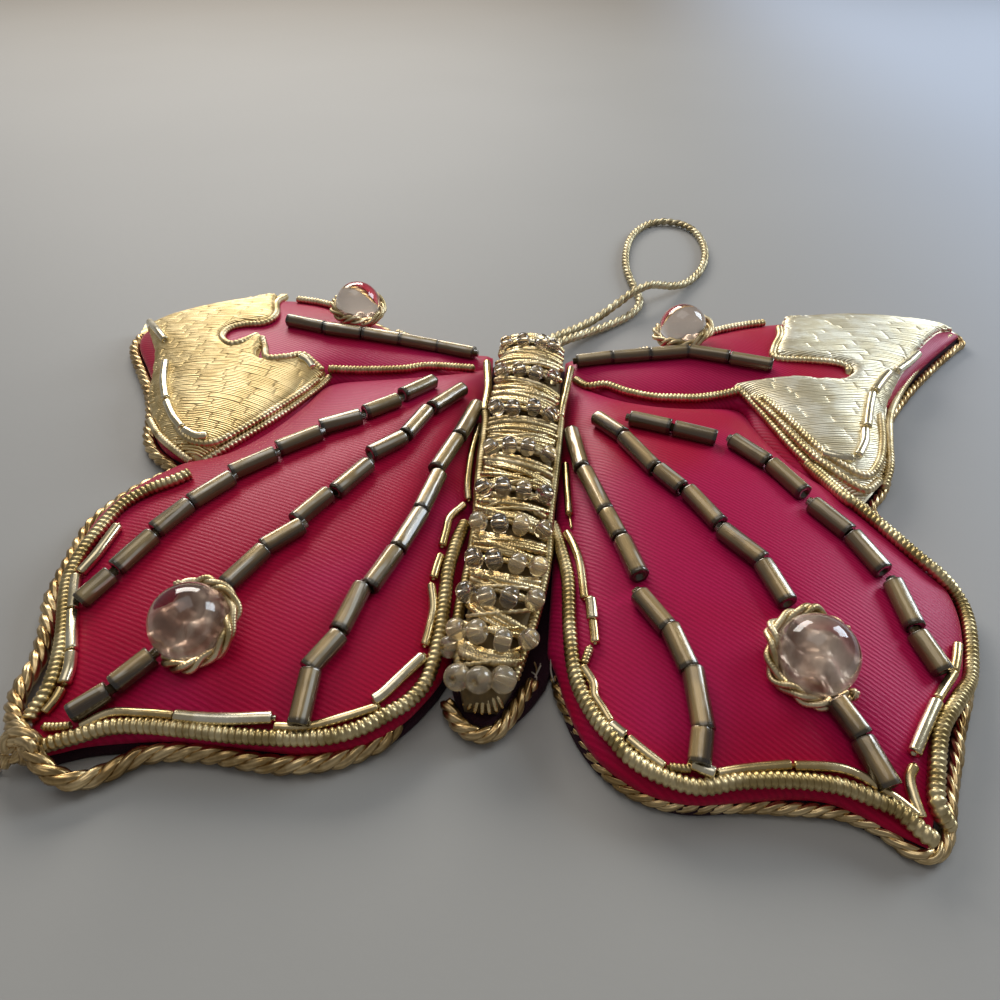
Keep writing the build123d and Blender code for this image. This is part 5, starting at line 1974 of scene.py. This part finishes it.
@dataclass
class EdgeCord:
    """The twisted cord sewn over the seam."""

    finishes: Finishes
    left_radius: float = 0.98
    right_radius: float = 0.72
    tail_radius: float = 0.86
    stub_radius: float = 0.8
    left_hem: Points = (
        (398, 722), (391, 731), (384, 739.5), (371.6, 746), (355, 753.5), (331.8, 760.6),
        (301.2, 764.5), (270.6, 764.5), (240, 759.6), (212, 754.6), (183.7, 752.4), (160, 753),
        (138, 757), (114.8, 768.4), (91.9, 778), (70, 781), (50, 773), (36, 758),
    )
    left_hem_heights: tuple = (0.98,) * 12 + (1.0, 1.05, 1.15, 1.5, 2.1, 2.8)
    left_knot: Points = ((26, 744), (13, 738), (10, 750), (24, 756), (32, 744), (20, 733), (15, 724))
    left_knot_heights: tuple = (3.6, 3.4, 2.3, 2.2, 3.9, 4.0, 2.8)
    left_rim: Points = (
        (15, 706), (20, 691), (29, 676), (38, 660), (43, 645), (47, 628), (50, 611), (53, 597),
    )
    left_rim_heights: tuple = (1.9, 1.5, 1.3, 1.2, 1.1, 1.0, 1.0, 1.0)
    stub: Points = ((22, 748), (12, 756), (2, 764))
    stub_heights: tuple = (3.0, 2.2, 1.2)
    right_hem: Points = (
        (556, 684), (563.7, 703.3), (575.4, 725.3), (588.6, 748.7), (603, 768), (625, 787),
        (655, 801), (690, 806), (740, 806), (789.8, 808.4), (839.5, 813.3), (879.3, 829),
        (912, 852), (936, 855), (947, 836), (949, 810), (952, 780), (956, 758),
    )
    tail: Points = (
        (446, 702), (451, 713), (458, 723), (466, 730), (478, 735.5), (490, 734), (500, 728.5),
        (509, 718), (517, 706), (526, 692), (535, 682),
    )

    def beside(self, line: np.ndarray, way: int, reach: float) -> np.ndarray:
        """A plan line moved outward."""
        run = np.gradient(line, axis=0)
        run /= np.maximum(np.linalg.norm(run, axis=1)[:, None], TINY)
        moved = line + np.stack([run[:, 1], -run[:, 0]], 1) * way * reach
        return moved[off_edge(moved, line) > 0.9 * reach]

    def fray(self, shape: Shape, start: np.ndarray, way: np.ndarray, count: int, length: float,
             seed: int) -> None:
        """Splay a cord's cut end into single wires.

        Args:
            shape: the shape that takes them.
            start: the cord's end.
            way: the direction that the cord leaves in.
            count: the number of wires.
            length: their length.
            seed: number that sets how they splay.
        """
        rng = np.random.default_rng(seed)
        way = way / np.linalg.norm(way)
        for _ in range(count):
            spread = rng.normal(0, 0.34, 3)
            bend = rng.normal(0, 0.22, 3)
            reach = length * rng.uniform(0.5, 1.1)
            share = np.linspace(0, 1, 6)[:, None]
            route = start + rng.normal(0, 0.22, 3) + reach * share * (way + spread * share + bend * share**2)
            route[:, 2] = np.maximum(route[:, 2], 0.12)
            shape.tube(flow(route, 0.25), smooth(0.10), 6, slot=int(rng.random() < 0.35))

    def upper(self, side: Side, after: float, reach: float, height: float) -> np.ndarray:
        """The cord's line round the rim, the forewing and the front.

        Args:
            side: the side.
            after: share of the rim that is left out.
            reach: how far outside the seam it lies.
            height: its height.

        Returns:
            Its points.
        """
        seams = SEAMS[side]
        parts = [flow(plans(side, table), 0.5)[:-1] for table in (seams.rim, seams.fore_rim, seams.front)]
        parts[0] = parts[0][int(len(parts[0]) * after):]
        plan_line = self.beside(np.concatenate(parts), side.value, reach)
        return np.hstack([plan_line, np.full((len(plan_line), 1), height)])[::6]

    def build(self) -> None:
        """Build the right, the left and the tail length."""
        finishes = [self.finishes.cord, self.finishes.thread]
        hem = EYE.at_heights(self.left_hem, self.left_hem_heights)
        knot = EYE.at_heights(self.left_knot, self.left_knot_heights)
        rim = EYE.at_heights(self.left_rim, self.left_rim_heights)
        stub = EYE.at_heights(self.stub, self.stub_heights)
        upper = self.upper(Side.LEFT, 0.66, 1.1, 0.98)
        shape = Shape()
        twist(shape, flow([*hem, *knot, *rim, *upper], 0.28), self.left_radius, 3, 5.6)
        twist(shape, flow(stub, 0.2), self.stub_radius, 3, 4.6)
        self.fray(shape, stub[-1], stub[-1] - stub[0], 9, 1.2, 4)
        self.fray(shape, hem[0], hem[0] - hem[2], 10, 3.0, 2)
        self.fray(shape, knot[3], np.array([-0.5, -0.2, 0.5]), 7, 1.6, 9)
        shape.piece("edge_cord_twisted_left", finishes, ["edge_cord_left"], slot="gold_cord")
        shape = Shape()
        hem = EYE.at_heights(self.right_hem, (0.74,) * len(self.right_hem))
        upper = self.upper(Side.RIGHT, 0.30, 1.0, 0.80)
        twist(shape, flow([*hem, *upper], 0.26), self.right_radius, 3, 4.4)
        self.fray(shape, hem[0], hem[0] - hem[2], 12, 3.4, 3)
        shape.piece("edge_cord_twisted_right", finishes, ["edge_cord_right"], slot="gold_cord")
        tail = EYE.at_heights(self.tail, (1.1,) * len(self.tail))
        shape = Shape()
        twist(shape, flow(tail, 0.25), self.tail_radius, 3, 4.6)
        self.fray(shape, tail[-1], tail[-1] - tail[-3], 12, 2.2, 6)
        shape.piece("tail_cord_twisted", finishes, ["tail_cord"], slot="gold_cord")


@dataclass
class HangingLoop:
    """The loop of cord that swings from the head."""

    finishes: Finishes
    radius: float = 0.8
    stitch_radius: float = 0.36
    stitches: tuple = (29.45, 30.05, 30.55)
    stitch_middle: tuple = (-2.15, 3.6)
    stitch_reach: tuple = (1.75, 1.55)
    route: Points = (
        (-1.3, 31.4, 3.6), (0.6, 35.0, 3.4), (3.5, 39.2, 2.6), (7.2, 44.0, 1.4), (11.2, 48.4, 0.9),
        (15.2, 52.6, 0.9), (17.4, 58.2, 0.9), (16.0, 65.8, 0.9), (14.8, 74.2, 0.9),
        (15.2, 83.4, 0.9), (16.6, 91.6, 0.9), (19.4, 98.2, 0.9), (23.0, 102.2, 0.9),
        (28.0, 102.2, 0.9), (31.4, 98.4, 0.9), (32.9, 91.8, 0.9), (32.9, 83.4, 0.9), (31.0, 74.6, 0.9),
        (27.0, 67.2, 0.9), (22.6, 62.6, 2.4), (19.4, 60.2, 4.0), (15.8, 57.0, 4.0),
        (12.0, 53.2, 2.6), (8.2, 49.2, 1.4), (4.4, 44.6, 1.6), (1.0, 39.8, 2.6),
        (-1.8, 35.2, 3.4), (-3.1, 31.4, 3.6),
    )

    def line(self) -> np.ndarray:
        """Points of the route's smooth spline, in millimetres."""
        data = bpy.data.curves.new("loop_route", "CURVE")
        data.dimensions = "3D"
        data.resolution_u = 24
        spline = data.splines.new("NURBS")
        spline.points.add(len(self.route) - 1)
        for point, place in zip(spline.points, self.route):
            point.co = (*(coordinate * MM for coordinate in place), 1)
        spline.order_u = 3
        spline.use_endpoint_u = True
        holder = placed("loop_route", data)
        mesh = bpy.data.meshes.new_from_object(holder)
        points = np.array([vertex.co for vertex in mesh.vertices]) / MM
        bpy.data.objects.remove(holder)
        return points

    def build(self) -> None:
        """Build the loop and the stitch that holds it."""
        line = self.line()
        length = distances(line)[-1]
        even = stepped(line, np.arange(0, length, 0.3))
        shape = Shape()
        twist(shape, even, self.radius, 2, 3.4)
        loop = shape.piece("loop_twisted", [self.finishes.loop], ["hanging_loop"], "gold_cord", Body.LOOP)
        2 * self.radius * MM
        stitch = Shape()
        angles = np.linspace(0, 2 * math.pi, 25)[:-1]
        (across, level), (width, height) = self.stitch_middle, self.stitch_reach
        for along in self.stitches:
            route = np.stack([
                across + width * np.cos(angles), np.full(len(angles), along), level + height * np.sin(angles)
            ], 1)
            stitch.tube(flow(route, 0.1, returns=True), ribbed(self.stitch_radius, 0.4, 0.12), 9)
        stitch.piece("loop_stitch_sewn", [self.finishes.bright], ["loop_stitch"], slot="gold_cord")


@dataclass
class Backing:
    """The velvet back, and the stiff card within."""

    finishes: Finishes
    velvet_levels: Points = ((-0.30, 0.0), (-0.04, 0.12), (0.0, 0.45), (-0.06, 0.9), (-0.40, 1.3))
    velvet_reach: float = 0.35
    card_reach: float = -0.9
    card_levels: Points = ((0.0, 0.8), (0.0, 1.25))
    tail: Points = ((0.038, -0.285), (0.023, -0.325), (0.003, -0.351), (-0.0185, -0.332), (-0.029, -0.295))
    head: Points = ((-0.042, 0.350), (0.0, 0.365), (0.044, 0.345))

    def outline(self) -> np.ndarray:
        """The whole butterfly's seam in plan."""
        right, left = ([tables.hem, tables.rim, tables.fore_rim, tables.front] for tables in SEAMS.values())
        lines = [flow(plans(Side.RIGHT, table), SEAM_STEP) for table in (*right, self.head[::-1])]
        lines += [flow(plans(Side.LEFT, table), SEAM_STEP)[::-1] for table in left[::-1]]
        lines.append(flow(plans(Side.RIGHT, self.tail[::-1]), SEAM_STEP))
        return np.concatenate([line[:-1] for line in lines])

    def build(self) -> None:
        """Build the velvet and the card."""
        shape = Shape()
        self.slab(shape, self.velvet_reach, self.velvet_levels)
        shape.piece("velvet_back", [self.finishes.velvet], ["back_panel"], slot="velvet")
        card = Shape()
        self.slab(card, self.card_reach, self.card_levels)
        card.piece("card_sheet", [self.finishes.card], ["stiffener_card"], slot="card", merge=False)

    def moved(self, reach: float) -> tuple[np.ndarray, np.ndarray]:
        """The seam moved outward, and the direction away from it at each point."""
        edge = self.outline()
        shifted = edge + outward(edge) * reach
        kept = shifted[off_edge(shifted, closed(edge)) > KEPT_SHARE * abs(reach)]
        edge = flow(kept[::2], SEAM_STEP, returns=True)[:-1]
        return edge, outward(edge)

    def slab(self, shape: Shape, reach: float, levels: Sequence[tuple[float, float]]) -> None:
        """Add a flat sheet with the seam's outline.

        Args:
            shape: the shape that takes it.
            reach: how far outside the seam its edge lies.
            levels: small steps in or out and the heights that they stand at, from below.
        """
        edge, out = self.moved(reach)
        count = len(edge)
        rings = [np.column_stack([edge + out * step, np.full(count, height)]) for step, height in levels]
        ring = np.array(rings)
        quads = net(numbered(ring), around=True)
        points = [ring.reshape(-1, 3)]
        total = len(points[0])
        lattice = scattered(edge, 1.6, 1.0)
        for row, flip in ((0, True), (len(rings) - 1, False)):
            flat, faces = triangles(np.concatenate([rings[row][:, :2], lattice]), count)
            middles = np.array([flat[list(face)].mean(0) for face in faces])
            good = inside(middles, rings[row][:, :2])
            points.append(np.column_stack([flat, np.full(len(flat), levels[row][1])]))
            quads += [tuple(total + i for i in (face[::-1] if flip else face))
                      for face, fits in zip(faces, good) if fits]
            total += len(flat)
        shape.add(np.concatenate(points), quads)


@dataclass(frozen=True)
class Lamp:
    """One soft lamp that faces the butterfly, in metres and watts."""

    name: str
    place: tuple[float, float, float]
    size: tuple[float, float]
    power: float
    colour: Colour

    def build(self) -> None:
        """Hang the lamp."""
        data = bpy.data.lights.new(self.name, "AREA")
        data.shape = "RECTANGLE"
        data.size, data.size_y = self.size
        data.energy = self.power
        data.color = self.colour
        lamp = placed(self.name, data)
        lamp.location = self.place
        lamp.rotation_euler = (-Vector(self.place)).to_track_quat("-Z", "Y").to_euler()


@dataclass
class Studio:
    """The pale floor, the soft light and the camera."""

    lamps: Sequence[Lamp] = (
        Lamp("window", (-0.25, 0.60, 0.34), (0.50, 0.26), 3.4, (1.0, 0.95, 0.88)),
        Lamp("side_window", (0.50, 0.34, 0.30), (0.26, 0.30), 2.0, (0.80, 0.90, 1.0)),
        Lamp("overhead", (-0.10, 0.10, 0.70), (0.5, 0.5), 0.9, (1.0, 0.98, 0.96)),
    )
    room_colour: Colour = (0.80, 0.80, 0.82)
    room_light: float = 0.24

    def build(self) -> None:
        """Build the set."""
        EYE.camera()
        recipe = Recipe("floor")
        place = recipe.coordinates()
        grain = recipe.noise(place, 900, 3)
        cloud = recipe.noise(place, 9, 2)
        far = place.part(1).step(0.10, 0.55)
        near = 1 - place.part(1).step(-0.10, 0.02)
        colour = recipe.mix(cloud, (0.36, 0.355, 0.34), (0.42, 0.415, 0.40))
        # painted shade and reflection: the floor turns dark brown far behind the butterfly
        colour = recipe.mix(far * 0.85, colour, (0.19, 0.17, 0.145))
        # painted light: a lighter band near the camera
        colour = recipe.mix(near * 0.7, colour, (0.42, 0.41, 0.38))
        # painted cool light: the floor turns bluish towards the right, as under the side window
        colour = recipe.mix(place.part(0).step(0.02, 0.16) * 0.75, colour, (0.48, 0.55, 0.68))
        material = recipe.surface(Base_Color=colour, Roughness=grain * 0.1 + 0.55, Specular_IOR_Level=0.2,
                                  Normal=recipe.bump(grain, 0.00001))
        mesh = bpy.data.meshes.new("floor")
        mesh.from_pydata([(-1.5, -1.0, 0), (1.5, -1.0, 0), (1.5, 2.5, 0), (-1.5, 2.5, 0)], [], [(0, 1, 2, 3)])
        mesh.materials.append(material)
        floor = placed("floor", mesh)
        for lamp in self.lamps:
            lamp.build()
        world = bpy.data.worlds.new("room")
        world.use_nodes = True
        back = world.node_tree.nodes["Background"]
        back.inputs[0].default_value = (*self.room_colour, 1)
        back.inputs[1].default_value = self.room_light
        bpy.context.scene.world = world
        bpy.context.scene.view_settings.view_transform = "Standard"


def division_purls(wings: dict, finishes: Finishes) -> None:
    """Lay the purl in the valley between hindwing and forewing."""
    for side, (hind, fore) in wings.items():
        route = []
        for pixel in fore.sewn.division:
            spots = [wing.ground.seen(pixel, 0.55) for wing in (hind, fore)]
            route.append(min(spots, key=lambda spot: np.linalg.norm(spot - EYE.place)))
        shape = Shape()
        shape.tube(flow(route, 0.105), ribbed(0.72, 0.58), 12)
        shape.piece(f"division_laid_{side.word}", [finishes.purl], [f"division_purl_{side.word}"])


def main() -> None:
    """Build the butterfly and its set."""
    logging.basicConfig(level=logging.INFO, format="%(relativeCreated)d %(name)s: %(message)s")
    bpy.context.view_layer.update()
    Studio().build()
    finishes = Finishes()
    HangingLoop(finishes).build()
    wings = {}
    for side in Side:
        hind, fore = HindWing(side, finishes), ForeWing(side, finishes)
        hind.build()
        fore.build()
        wings[side] = (hind, fore)
    division_purls(wings, finishes)
    Abdomen(finishes).build()
    EdgeCord(finishes).build()
    Backing(finishes).build()


if __name__ == "__main__":
    main()
